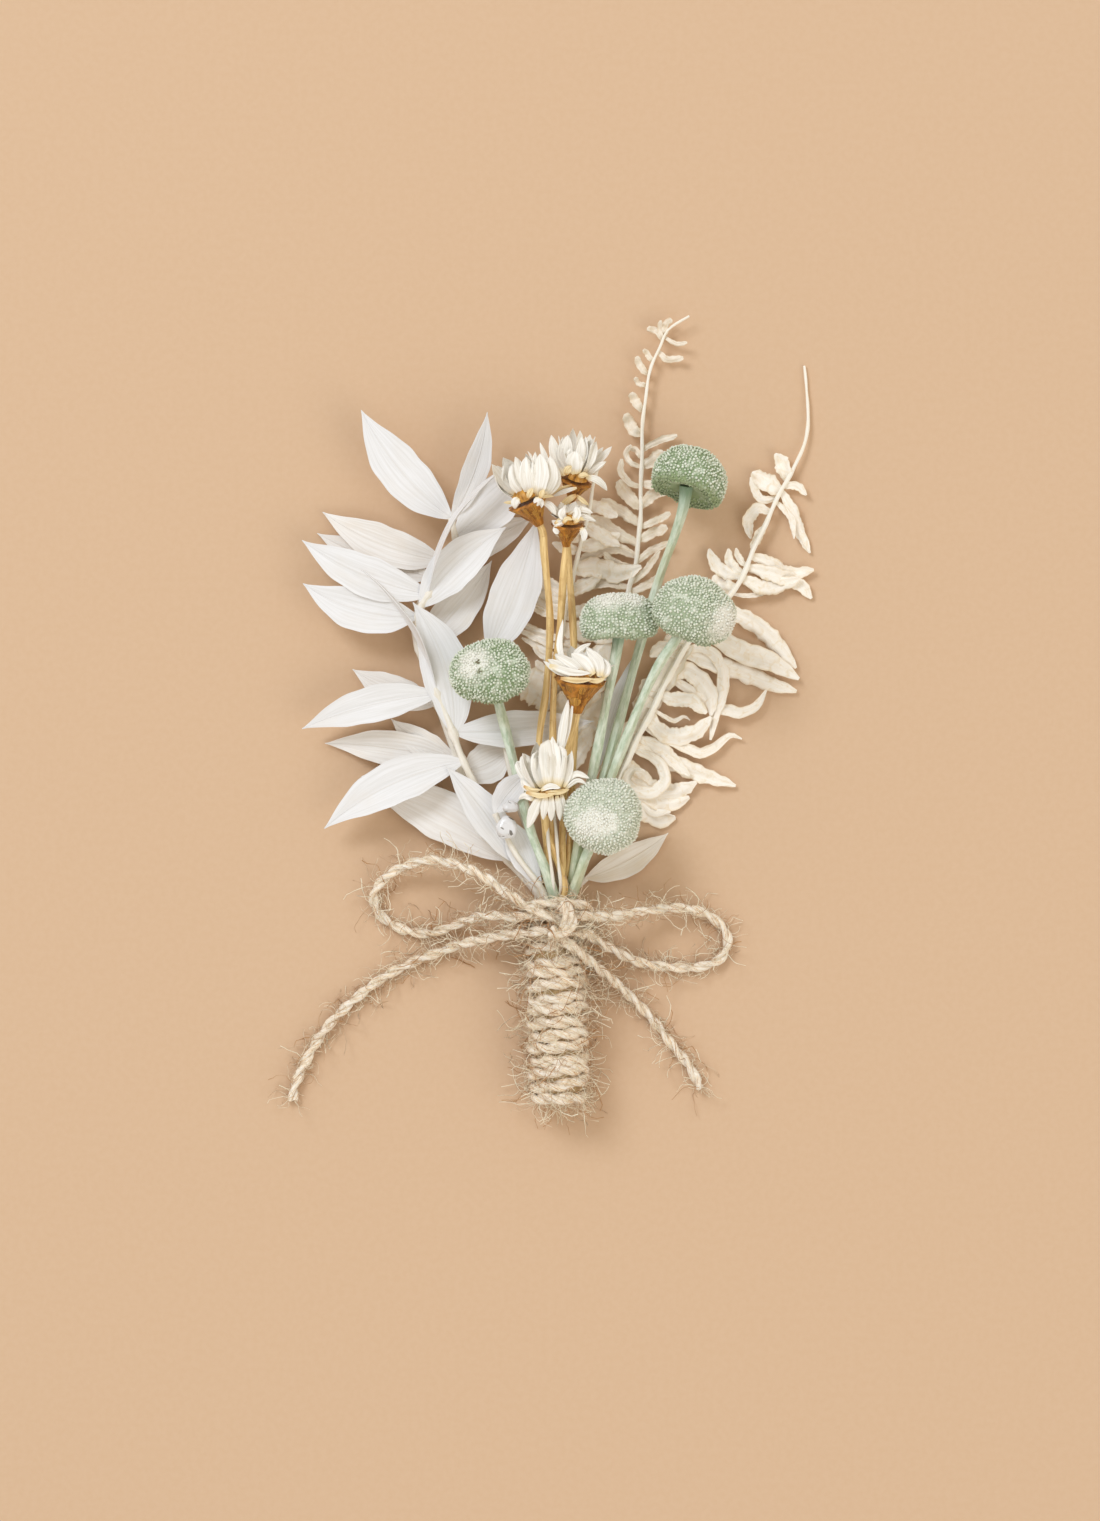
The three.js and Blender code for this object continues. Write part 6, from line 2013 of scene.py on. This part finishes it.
@dataclass
class Daisy:
    """An everlasting daisy: papery bracts in an amber cup of scales on a golden stem."""

    number: int
    at: Point
    axis: Point
    size: float
    slot: Place
    whorls: list[Whorl]
    stem: list[Point]
    front: list[tuple[float, ...]]
    thick: float = 0.1
    stations: int = 11
    scale_stations: int = 6
    columns: int = 7

    def placed(self, points: Array) -> Array:
        """Points on the bloom's own axis brought to where it stands."""
        return points @ turn_from_up(self.axis).T + np.array(self.at)

    def add_bract(
        self, shape: Shape, azimuth: float, whorl: Whorl, root: Place, draw: Draw, stations: int
    ) -> None:
        """Adds one bract: it leaves the core, opens, and closes again towards its tip.

        Args:
            shape: gathers the bloom.
            azimuth: radians round the axis.
            whorl: its sizes.
            root: how far from the axis and how high it starts.
            draw: gives its curl and tone.
            stations: places along it.
        """
        outward = np.array([math.cos(azimuth), math.sin(azimuth), 0.0])
        across = np.array([-math.sin(azimuth), math.cos(azimuth), 0.0])
        t = np.linspace(0, 1, stations)
        lean = np.radians(whorl.opening + whorl.hug * (1 - 2 * t) + 6 * np.sin(5 * t + draw.phase()))
        along = outward * np.sin(lean)[:, None] + FRONT * np.cos(lean)[:, None]
        steps = along[:-1] * whorl.length / (stations - 1)
        centre = outward * root[0] + FRONT * root[1] + np.vstack([np.zeros(3), np.cumsum(steps, axis=0)])
        sway = draw.between(-0.12, 0.12) * whorl.length
        centre = centre + across * (sway * t**2)[:, None]
        side = np.tile(across, (stations, 1))
        frames = tuple(rows @ turn_from_up(self.axis).T for rows in (side, unit(np.cross(along, side))))
        half = whorl.width / 2 * np.interp(t, *BRACT_OUTLINE)
        columns = np.linspace(-1, 1, self.columns)
        c, s = np.meshgrid(columns, t)
        lift = 0.3 * half[:, None] * c**2 + 0.06 * np.sin(11 * s + draw.phase()) * c
        shape.blade(self.placed(centre), frames, half, lift, columns, self.thick, t, draw())

    def add_front_bract(self, shape: Shape, bract: Bract, draw: Draw) -> None:
        """Adds a bract along its own line.

        Args:
            shape: gathers the bloom.
            bract: its sizes.
            draw: gives its curl and tone.
        """
        rise = np.linspace(*bract.heights, len(bract.path))
        line = Route([(x, y, z) for (x, y), z in zip(bract.path, rise)])
        t = np.linspace(0, 1, self.stations + 2)
        centre = line.at(t)
        centre[:, 2] += 0.6 * bract.arch * np.sin(math.pi * t)
        frames = faced(unit(np.gradient(centre, axis=0)), draw.between(-0.35, 0.35))
        outline = blend(np.interp(t, *BRACT_OUTLINE), np.interp(t, *BLUNT_OUTLINE), bract.blunt)
        half = bract.width / 2 * outline
        columns = np.linspace(-1, 1, self.columns + 2)
        c, s = np.meshgrid(columns, t)
        lift = 0.07 * bract.width * np.sin(7 * s + draw.phase()) * c
        lift += half[:, None] * (0.14 * np.sin(5.5 * c + draw.phase()) - 0.12 * c**2)
        shape.blade(centre, frames, half, lift, columns, self.thick, t, draw(), 2 * bract.scale)

    def bracts(self, finishes: Sequence[Material]) -> None:
        """Builds the bracts as one piece, over a small core.

        Args:
            finishes: the materials of bracts, core and straw-coloured scales.
        """
        draw, fine = Draw(40 + self.number), Draw(500 + self.number)
        shape = Shape()
        for level, whorl in enumerate(self.whorls):
            r, z = (0.8 + 0.6 * level) * self.size, (1.7 - 0.35 * level) * self.size
            for i in range(whorl.count):
                share = (i + 0.5 * (level % 2) + 0.2 * (draw() - 0.5)) / whorl.count
                opening = whorl.opening + 8 * (draw() - 0.5)
                length = whorl.length * (0.9 + 0.2 * draw())
                azimuth = math.radians(blend(whorl.start, whorl.stop, share))
                wide = replace(whorl, opening=opening, length=length)
                self.add_bract(shape, azimuth, wide, (r, z), fine, self.stations)
                azimuth += math.radians((whorl.stop - whorl.start) / whorl.count * 0.5)
                slim = replace(whorl, opening=opening + 5, length=length * 0.88, width=whorl.width * 0.85)
                self.add_bract(shape, azimuth, slim, (r * 0.92, z - 0.1), fine, self.stations)
        for row in self.front:
            bract = Bract.of(row)
            self.add_front_bract(shape, bract, fine)
            if not bract.scale and bract.width > 1.5:  # a narrower one lies behind it
                root, *rest = bract.path
                aside, ahead = fine.between(-0.9, 0.9), fine.between(-0.5, 0.6)
                path = (root, *[(x + aside, y + ahead) for x, y in rest])
                heights = (bract.heights[0] - 0.4, bract.heights[1] - 0.5)
                self.add_front_bract(shape, Bract(path, 0.62 * bract.width, heights, bract.arch), fine)
        self.add_turned(shape, CORE_OUTLINE, 0.8, 1)
        piece = shape.piece(f"daisy_bloom_{self.number}", finishes)
        settle(piece, "white_bract", f"daisy_bracts_{self.number}")

    def add_turned(
        self, shape: Shape, outline: Sequence[Place], tone: float, kind: int, sides: int = 30
    ) -> None:
        """Adds a form turned round the bloom's axis.

        Args:
            shape: gathers the bloom.
            outline: radius and height from the foot up, for a bloom of size 1.
            tone: its tone.
            kind: its finish.
            sides: points round it.
        """
        outline, angle = np.array(outline) * self.size, around(sides)
        r, z = np.maximum(outline[:, 0], 0.02)[:, None], outline[:, 1][:, None]
        pleat = 1 + 0.04 * np.sin(9 * angle) * np.clip(r / self.size - 0.6, 0, 1)
        rings = np.stack([r * np.cos(angle) * pleat, r * np.sin(angle) * pleat, z + 0 * angle], axis=-1)
        world = self.placed(rings.reshape(-1, 3)).reshape(rings.shape)
        shape.loft(world, run_of(outline), np.arange(sides + 1) / sides * 2, tone, kind)

    def cup(self, cup_finish: Material, stem_finish: Material) -> None:
        """Builds the cup, its overlapping scales and the stem as one piece.

        Args:
            cup_finish: the cup's material.
            stem_finish: the stem's material.
        """
        draw = Draw(600 + self.number)
        shape = Shape()
        self.add_turned(shape, CUP_OUTLINE, 0.15, 0)
        radii, heights = (np.array(CUP_OUTLINE[1:5]) * self.size).T
        for row, (start, reach, count) in enumerate(SCALE_ROWS):
            z = blend(heights[0], heights[-1], start)
            r, above = (float(np.interp(height, heights, radii)) + 0.06 for height in (z, z + 0.3))
            slope = math.degrees(math.atan2(above - r, 0.3))
            for i in range(count):
                azimuth = (i + 0.5 * (row % 2) + draw.between(-0.15, 0.15)) / count * 2 * math.pi
                scale = Whorl(1, slope + draw.between(-4, 6), -6, reach * self.size, 1.5 * self.size)
                self.add_bract(shape, azimuth, scale, (r, z), draw, self.scale_stations)
        foot = CUP_OUTLINE[0][1] * self.size
        end = self.placed(np.array([[0, 0, foot - 1.4], [0, 0, foot + 0.6]]))
        line = HANDLE.stem(self.slot, [*self.stem, *end.tolist()]).spaced(0.8)
        share = np.linspace(0, 1, len(line))
        radius = np.interp(share, (0, 0.3, 1), (0.46, 0.52, 0.6))
        radius = radius * (1 + 0.08 * np.sin(share * 47 + self.number))
        shape.tube(line, radius, 10, draw(), kind=1, ribs=(4, 0.1))
        piece = shape.piece(f"daisy_stalk_{self.number}", [cup_finish, stem_finish])
        settle(piece, "amber_cup", f"daisy_cup_{self.number}")

    def build(self, bract: Material, cup: Material, straw: Material, stem: Material) -> None:
        """Builds the bloom and the stalk."""
        self.bracts([bract, cup, straw])
        self.cup(cup, stem)


DAISIES = [
    Daisy(
        1, (-5.7, 37.5, 15.4), (-0.42, 0.86, 0.3), 1.1, (-0.5, 1),
        [
            Whorl(3, 2, 24, 6.4, 3.0, -20, 200),
            Whorl(4, 14, 40, 7.2, 3.2, -10, 190),
            Whorl(3, 104, -20, 2.6, 1.7, 0, 180),
        ],
        [
            (-1.7, -31.0, 6.9), (-2.8, -19.4, 7.6), (-3.7, -6.5, 8.3), (-2.4, 3.8, 8.5), (-1.7, 16.2, 9.2),
            (-2.8, 28.6, 12.2),
        ],
        [
            (-5.5, 38.2, -7.5, 40.7, -8.5, 43.9, 3.1, 16.2, 17.6, 1.2, 0, 0),
            (-5.0, 38.2, -5.7, 41.8, -6.0, 45.2, 3.2, 17.2, 18.0, 1.5, 0, 0),
            (-3.9, 38.2, -3.3, 41.8, -3.5, 45.7, 3.1, 17.4, 18.4, 1.4, 0, 0),
            (-3.0, 38.2, -1.5, 41.4, -1.7, 45.4, 2.5, 16.8, 17.4, 1.2, 0, 0),
            (-2.4, 38.2, -0.4, 40.7, -0.6, 43.7, 1.6, 15.6, 16.0, 0.8, 0, 0),
            (-3.9, 39.2, -2.4, 43.6, -3.5, 47.9, 1.4, 15.0, 15.8, 0.6, 0, 0),
            (-8.4, 38.2, -10.3, 40.7, -10.0, 43.7, 1.1, 14.0, 14.6, 0.6, 0, 0),
            (-8.9, 38.5, -11.1, 41.2, -10.5, 42.7, 0.9, 13.4, 13.6, 0.4, 0, 0),
            (-7.3, 37.8, -7.8, 37.1, -7.8, 36.0, 1.8, 18.2, 17.4, 0.5, 0, 0),
            (-3.9, 38.0, -3.9, 37.3, -3.9, 36.4, 1.6, 18.6, 18.0, 0.5, 0, 0),
            (-5.7, 37.8, -5.3, 38.7, -4.8, 39.6, 1.1, 18.6, 18.8, 0.3, 1, 0),
            (-3.5, 37.8, -3.1, 38.7, -2.8, 39.4, 1.1, 18.6, 18.4, 0.3, 1, 0),
            (-7.5, 37.3, -8.7, 37.1, -10.0, 37.1, 0.7, 16.6, 15.6, 0.3, 1, 0),
            (-3.9, 37.8, -2.4, 38.2, -1.0, 38.2, 0.7, 18.0, 16.2, 0.3, 1, 0),
            (-3.0, 37.3, -1.5, 36.4, -0.6, 34.9, 1.4, 16.4, 15.4, 0.4, 0, 0),
        ],
    ),
    Daisy(
        2, (3.0, 41.1, 10.2), (0.24, 0.9, 0.36), 0.86, (0, 0),
        [
            Whorl(3, 8, 12, 7.4, 2.4, -10, 190),
            Whorl(4, 26, 14, 7.4, 2.4, -10, 190),
            Whorl(3, 106, -26, 4.0, 1.6, 0, 180),
        ],
        [
            (0.9, -31.0, 5.4), (2.0, -21.4, 6.1), (2.4, -10.8, 7.1), (2.8, -4.5, 7.3), (2.8, 5.0, 7.2),
            (2.4, 16.0, 7.2), (1.6, 27.0, 6.4), (1.2, 32.0, 6.9),
        ],
        [
            (1.0, 42.1, -0.6, 45.4, -1.5, 49.3, 2.2, 11.4, 12.6, 0.8, 0, 0),
            (1.9, 42.5, 1.2, 45.9, 1.5, 49.3, 2.5, 12.0, 13.2, 1.0, 0, 0),
            (3.3, 42.5, 3.7, 45.9, 4.0, 49.1, 2.2, 11.8, 12.6, 0.8, 0, 0),
            (4.2, 42.3, 5.8, 45.2, 6.6, 48.2, 1.6, 11.2, 12.0, 0.7, 0, 0),
            (4.8, 41.9, 6.8, 43.6, 8.4, 44.6, 1.4, 10.6, 11.0, 0.5, 0, 0),
            (2.8, 42.3, 2.6, 44.5, 3.0, 46.4, 3.4, 13.6, 14.4, 0.9, 0, 0),
            (1.2, 42.1, 1.5, 43.0, 2.2, 43.7, 1.4, 14.2, 14.4, 0.3, 1, 0),
            (3.3, 41.8, 4.4, 42.1, 5.3, 41.9, 1.1, 13.6, 12.8, 0.3, 1, 0),
            (4.8, 41.8, 6.6, 41.4, 7.8, 40.5, 8.5, 39.4, 1.4, 12.4, 10.2, 0.5, 0, 0),
            (3.1, 39.8, 1.0, 39.2, -1.2, 38.3, 0.9, 13.4, 12.8, 0.4, 0, 0),
            (2.2, 40.3, 0.1, 39.6, -1.7, 38.5, 0.7, 13.2, 12.4, 0.3, 1, 0),
            (3.0, 38.5, 1.5, 37.6, -0.1, 36.2, 1.3, 13.0, 12.2, 0.3, 1, 0),
            (3.0, 38.5, 4.4, 37.3, 5.3, 36.7, 0.9, 12.6, 12.0, 0.2, 1, 0),
        ],
    ),
    Daisy(
        3, (1.5, 33.2, 13.2), (0.08, 0.94, 0.3), 0.88, (-1, 0),
        [Whorl(3, 34, 30, 2.8, 2.2, 0, 180), Whorl(4, 66, 14, 2.8, 2.2, 0, 180)],
        [
            (-2.0, -30.0, 5.6), (-1.3, -19.0, 6.4), (-1.2, -6.0, 7.4), (-1.0, 4.0, 7.6), (0.2, 16.2, 9.4),
            (0.8, 25.6, 11.6),
        ],
        [
            (1.2, 33.9, 0.5, 35.0, 0.9, 36.2, 1.6, 15.2, 15.6, 0.3, 0, 0),
            (2.5, 33.9, 3.2, 35.1, 2.9, 36.4, 1.5, 15.4, 15.8, 0.3, 0, 0),
            (1.0, 33.8, -0.3, 33.3, -1.4, 33.9, 1.3, 15.2, 14.6, 0.3, 0, 0),
            (0.3, 34.6, -1.3, 36.2, -2.8, 37.6, 1.5, 14.4, 13.6, 0.4, 0, 0),
            (1.6, 34.9, 3.7, 36.0, 6.0, 35.3, 1.2, 14.2, 13.2, 0.3, 0, 0),
            (2.2, 34.2, 4.4, 34.6, 6.6, 33.8, 1.1, 13.8, 12.6, 0.3, 0, 0),
            (-0.4, 33.0, -0.6, 32.2, -0.2, 31.5, 1.3, 14.9, 14.6, 0.2, 0, 0),
            (3.9, 32.6, 4.4, 31.4, 4.3, 30.2, 1.4, 14.8, 14.2, 0.2, 0, 0),
            (0.6, 33.4, 1.4, 34.2, 2.3, 34.0, 0.9, 15.8, 15.8, 0.2, 1, 0),
            (2.6, 33.4, 3.6, 34.2, 4.5, 33.9, 0.9, 15.6, 15.0, 0.2, 1, 0),
            (-0.9, 33.3, 0.0, 34.0, 0.8, 34.7, 0.8, 15.0, 15.0, 0.2, 1, 0),
        ],
    ),
    Daisy(
        4, (3.7, 5.5, 14.6), (0.1, 0.95, 0.3), 1.36, (0.5, 1),
        [Whorl(3, 30, 30, 3.6, 2.4, 0, 180), Whorl(5, 70, 18, 4.0, 2.2, -20, 200)],
        [(0.4, -31.0, 6.6), (0.6, -20.0, 7.3), (1.2, -10.0, 9.0), (2.3, -4.6, 11.0)],
        [
            (3.3, 6.0, 0.6, 7.2, -2.1, 9.0, 2.2, 17.2, 16.6, 0.3, 0, 0),
            (4.4, 6.3, 1.9, 7.9, -0.9, 9.8, 2.6, 17.6, 17.0, 0.3, 0, 0),
            (6.0, 6.2, 4.4, 8.3, 2.1, 10.0, 2.6, 17.8, 17.2, 0.4, 0, 0),
            (7.2, 6.0, 6.8, 8.3, 4.8, 10.8, 2.4, 17.6, 17.0, 0.4, 0, 0),
            (7.7, 5.8, 8.4, 7.1, 7.0, 9.6, 2.0, 17.2, 16.6, 0.3, 0, 0),
            (1.3, 7.1, 0.0, 11.2, 0.6, 16.2, 1.1, 17.0, 15.0, 0.5, 0, 0),
            (2.1, 7.5, 3.3, 10.4, 5.6, 11.9, 1.4, 17.0, 15.6, 0.4, 0, 0),
            (5.6, 10.0, 7.2, 8.3, 8.9, 6.2, 1.4, 17.0, 16.2, 0.3, 0, 0),
            (-1.8, 7.9, 2.1, 6.7, 5.6, 6.5, 1.4, 17.6, 18.2, 0.3, 0, 0),
            (0.2, 5.6, 3.3, 5.2, 6.0, 5.5, 1.1, 17.8, 18.2, 0.3, 1, 0),
            (4.8, 5.4, 6.8, 5.2, 8.3, 5.8, 1.1, 18.0, 17.0, 0.2, 1, 0),
        ],
    ),
    Daisy(
        5, (-2.5, -15.6, 13.4), (0, 0.85, 0.52), 0.8, (1, 2),
        [Whorl(3, 0, 16, 8.4, 2.8, 0, 180), Whorl(4, 18, 24, 8.2, 2.8, -20, 200)],
        [(0.9, -32.0, 8.1), (-0.8, -26.0, 8.8), (-2.2, -22.4, 9.6)],
        [
            (-1.6, -13.8, -1.7, -9.4, -2.0, -5.4, 4.0, 16.8, 17.4, 0.9, 0, 0.9),
            (-0.4, -13.8, -0.1, -9.8, 0.2, -6.4, 2.8, 16.4, 16.8, 0.8, 0, 0.8),
            (-2.9, -13.8, -3.8, -10.7, -3.8, -7.4, 2.8, 16.2, 16.6, 0.8, 0, 0.8),
            (-0.2, -9.0, 0.6, -3.2, 1.6, 1.8, 1.7, 15.2, 14.6, 0.6, 0, 0),
            (0.6, -13.8, 1.5, -10.7, 1.9, -7.9, 2.1, 15.8, 15.6, 0.7, 0, 0.6),
            (-3.7, -13.7, -5.4, -10.7, -6.2, -7.9, 3.0, 15.4, 14.8, 0.6, 0, 0.8),
            (-4.5, -13.3, -6.4, -11.3, -7.6, -9.2, 2.2, 14.8, 14.0, 0.5, 0, 0.6),
            (0.9, -13.7, 2.9, -11.5, 5.4, -12.3, 1.3, 15.6, 16.2, 0.5, 0, 0),
            (1.1, -14.2, 3.3, -12.7, 4.8, -13.3, 1.0, 15.8, 16.2, 0.4, 0, 0),
            (-4.1, -14.8, -6.0, -13.8, -6.9, -12.5, 1.5, 16.0, 14.8, 0.3, 0, 0),
            (-4.5, -16.2, -6.1, -15.4, -7.3, -16.0, 1.3, 15.8, 14.6, 0.3, 0, 0),
            (-3.3, -15.4, -4.5, -17.9, -5.7, -21.2, 2.1, 16.4, 14.6, 0.6, 0, 0),
            (-2.5, -15.4, -2.7, -17.5, -2.9, -19.7, 1.5, 16.8, 15.2, 0.5, 0, 0),
            (-1.5, -15.4, -1.5, -17.9, -1.5, -20.0, 1.5, 16.8, 15.0, 0.5, 0, 0),
            (-0.5, -15.4, -0.1, -17.7, 0.1, -19.9, 1.3, 16.6, 14.8, 0.5, 0, 0),
            (0.4, -15.2, 0.6, -17.1, 0.8, -18.9, 1.1, 16.2, 14.8, 0.4, 0, 0),
            (-6.0, -14.8, -3.3, -15.4, -0.6, -15.0, 1.0, 16.4, 17.6, 0.3, 1, 0),
            (-2.5, -14.8, -0.2, -14.8, 1.8, -14.3, 1.0, 17.4, 16.4, 0.3, 1, 0),
            (-3.3, -14.4, -1.7, -13.7, 0.2, -14.0, 1.1, 17.4, 17.6, 0.3, 0, 0),
            (-6.4, -13.7, -4.9, -14.4, -3.3, -14.3, 0.9, 15.6, 16.8, 0.3, 1, 0),
        ],
    ),
]


# ------------------------------------------------------------------ glue


@dataclass
class GlueDrop:
    """A drop of set glue between the stems."""

    node_name: str
    at: Point
    size: Point
    rows: int = 16
    sides: int = 24

    def build(self, finish: Material) -> None:
        """Builds the lump."""
        tilt = np.linspace(-math.pi / 2, math.pi / 2, self.rows)[:, None] * 0.985
        turn = around(self.sides)[None, :]
        x, y, z = np.cos(tilt) * np.cos(turn), np.cos(tilt) * np.sin(turn), np.sin(tilt) + 0 * turn
        uneven = 1 + 0.14 * np.sin(3 * x + 2 * y) * np.cos(2 * z - x) + 0.05 * np.sin(5 * y + 4 * z)
        rings = np.stack([x, y, z], axis=-1) * uneven[..., None] * np.array(self.size) + np.array(self.at)
        shape = Shape()
        shape.loft(rings, np.linspace(0, 3, self.rows), np.arange(self.sides + 1) / self.sides)
        settle(shape.piece("set_" + self.node_name, [finish], sharp=180), "set_glue", self.node_name)


GLUE = [
    GlueDrop("glue_drop_upper", (-8.8, -17.4, 11.6), (1.5, 1.1, 1.0)),
    GlueDrop("glue_drop_lower", (-9.5, -21.2, 10.9), (1.9, 2.1, 1.0)),
]


# ------------------------------------------------------------------ the bunch


def build_twine() -> None:
    """Builds the bow, the wrap and the knot."""
    twine = TwineMaker(JutePly("spun_jute_ply").make(), JuteHair("loose_jute_hair").make())
    for part in (*BOW_CORDS, TwineWrap(), Knot()):
        part.build(twine)


def build_ruscus() -> None:
    """Builds the ruscus sprays."""
    bright = BleachedLeaf("bleached_ruscus_leaf").make()
    # painted light: a paler, warmer copy of the leaf finish that lifts the leaves lying in shade behind
    shaded = BleachedLeaf("bleached_ruscus_leaf_behind_painted_light", "f6f4f0", "e6e1d9", "ece3d6").make()
    # painted light and painted warm shade: a paler, warmer copy for the right leaf, which lies in shade near
    # the table
    warm = BleachedLeaf("bleached_ruscus_leaf_painted_light_warm_shade", "faf4ea", "efe3d2", "ecdcc0").make()
    wood = BleachedStem("bleached_ruscus_stem").make()
    for spray in SPRAYS:
        leaf = shaded if spray.slot_name == "shaded_leaf" else bright
        spray.build(warm if spray.name == "right_ruscus_leaf" else leaf, wood)


def build_fern() -> None:
    """Builds the fern fronds."""
    thin = PaperyFern("thin_fern_leaflet", "f6eddd", "ede0ca", "dfc69e").make()
    paper = PaperyFern("bleached_fern_leaflet").make()
    rib = BleachedStem("bleached_fern_midrib", "fffdf4", "fff5dd").make()
    for frond in FRONDS:
        frond.build(thin if frond.name == "left_fern_frond" else paper, rib)


def build_flowers() -> None:
    """Builds the button flowers and the daisies."""
    florets = FloretMaker(SageWool("dyed_button_florets").make())
    green = SageStem("dyed_button_stem").make()
    for button in BUTTONS:
        button.build(florets, green)
    bract, cup = PaperyBract("papery_daisy_bract").make(), AmberScale("amber_daisy_scale").make()
    straw = PaperyBract("straw_daisy_scale", "f7e7bd", "dfbc78", "c98f3a").make()
    golden = BleachedStem("golden_daisy_stem", "fbdc9c", "b98a45", 0.34).make()
    for daisy in DAISIES:
        daisy.build(bract, cup, straw, golden)


def main() -> None:
    """Builds the stage, the cords and then the rest of the bunch, in order."""
    logging.basicConfig(level=logging.INFO, format="%(name)s: %(message)s")
    Stage().build()
    build_twine()
    build_ruscus()
    build_fern()
    build_flowers()
    glue = SetGlue("set_hot_melt_glue").make()
    for drop in GLUE:
        drop.build(glue)


if __name__ == "__main__":
    main()
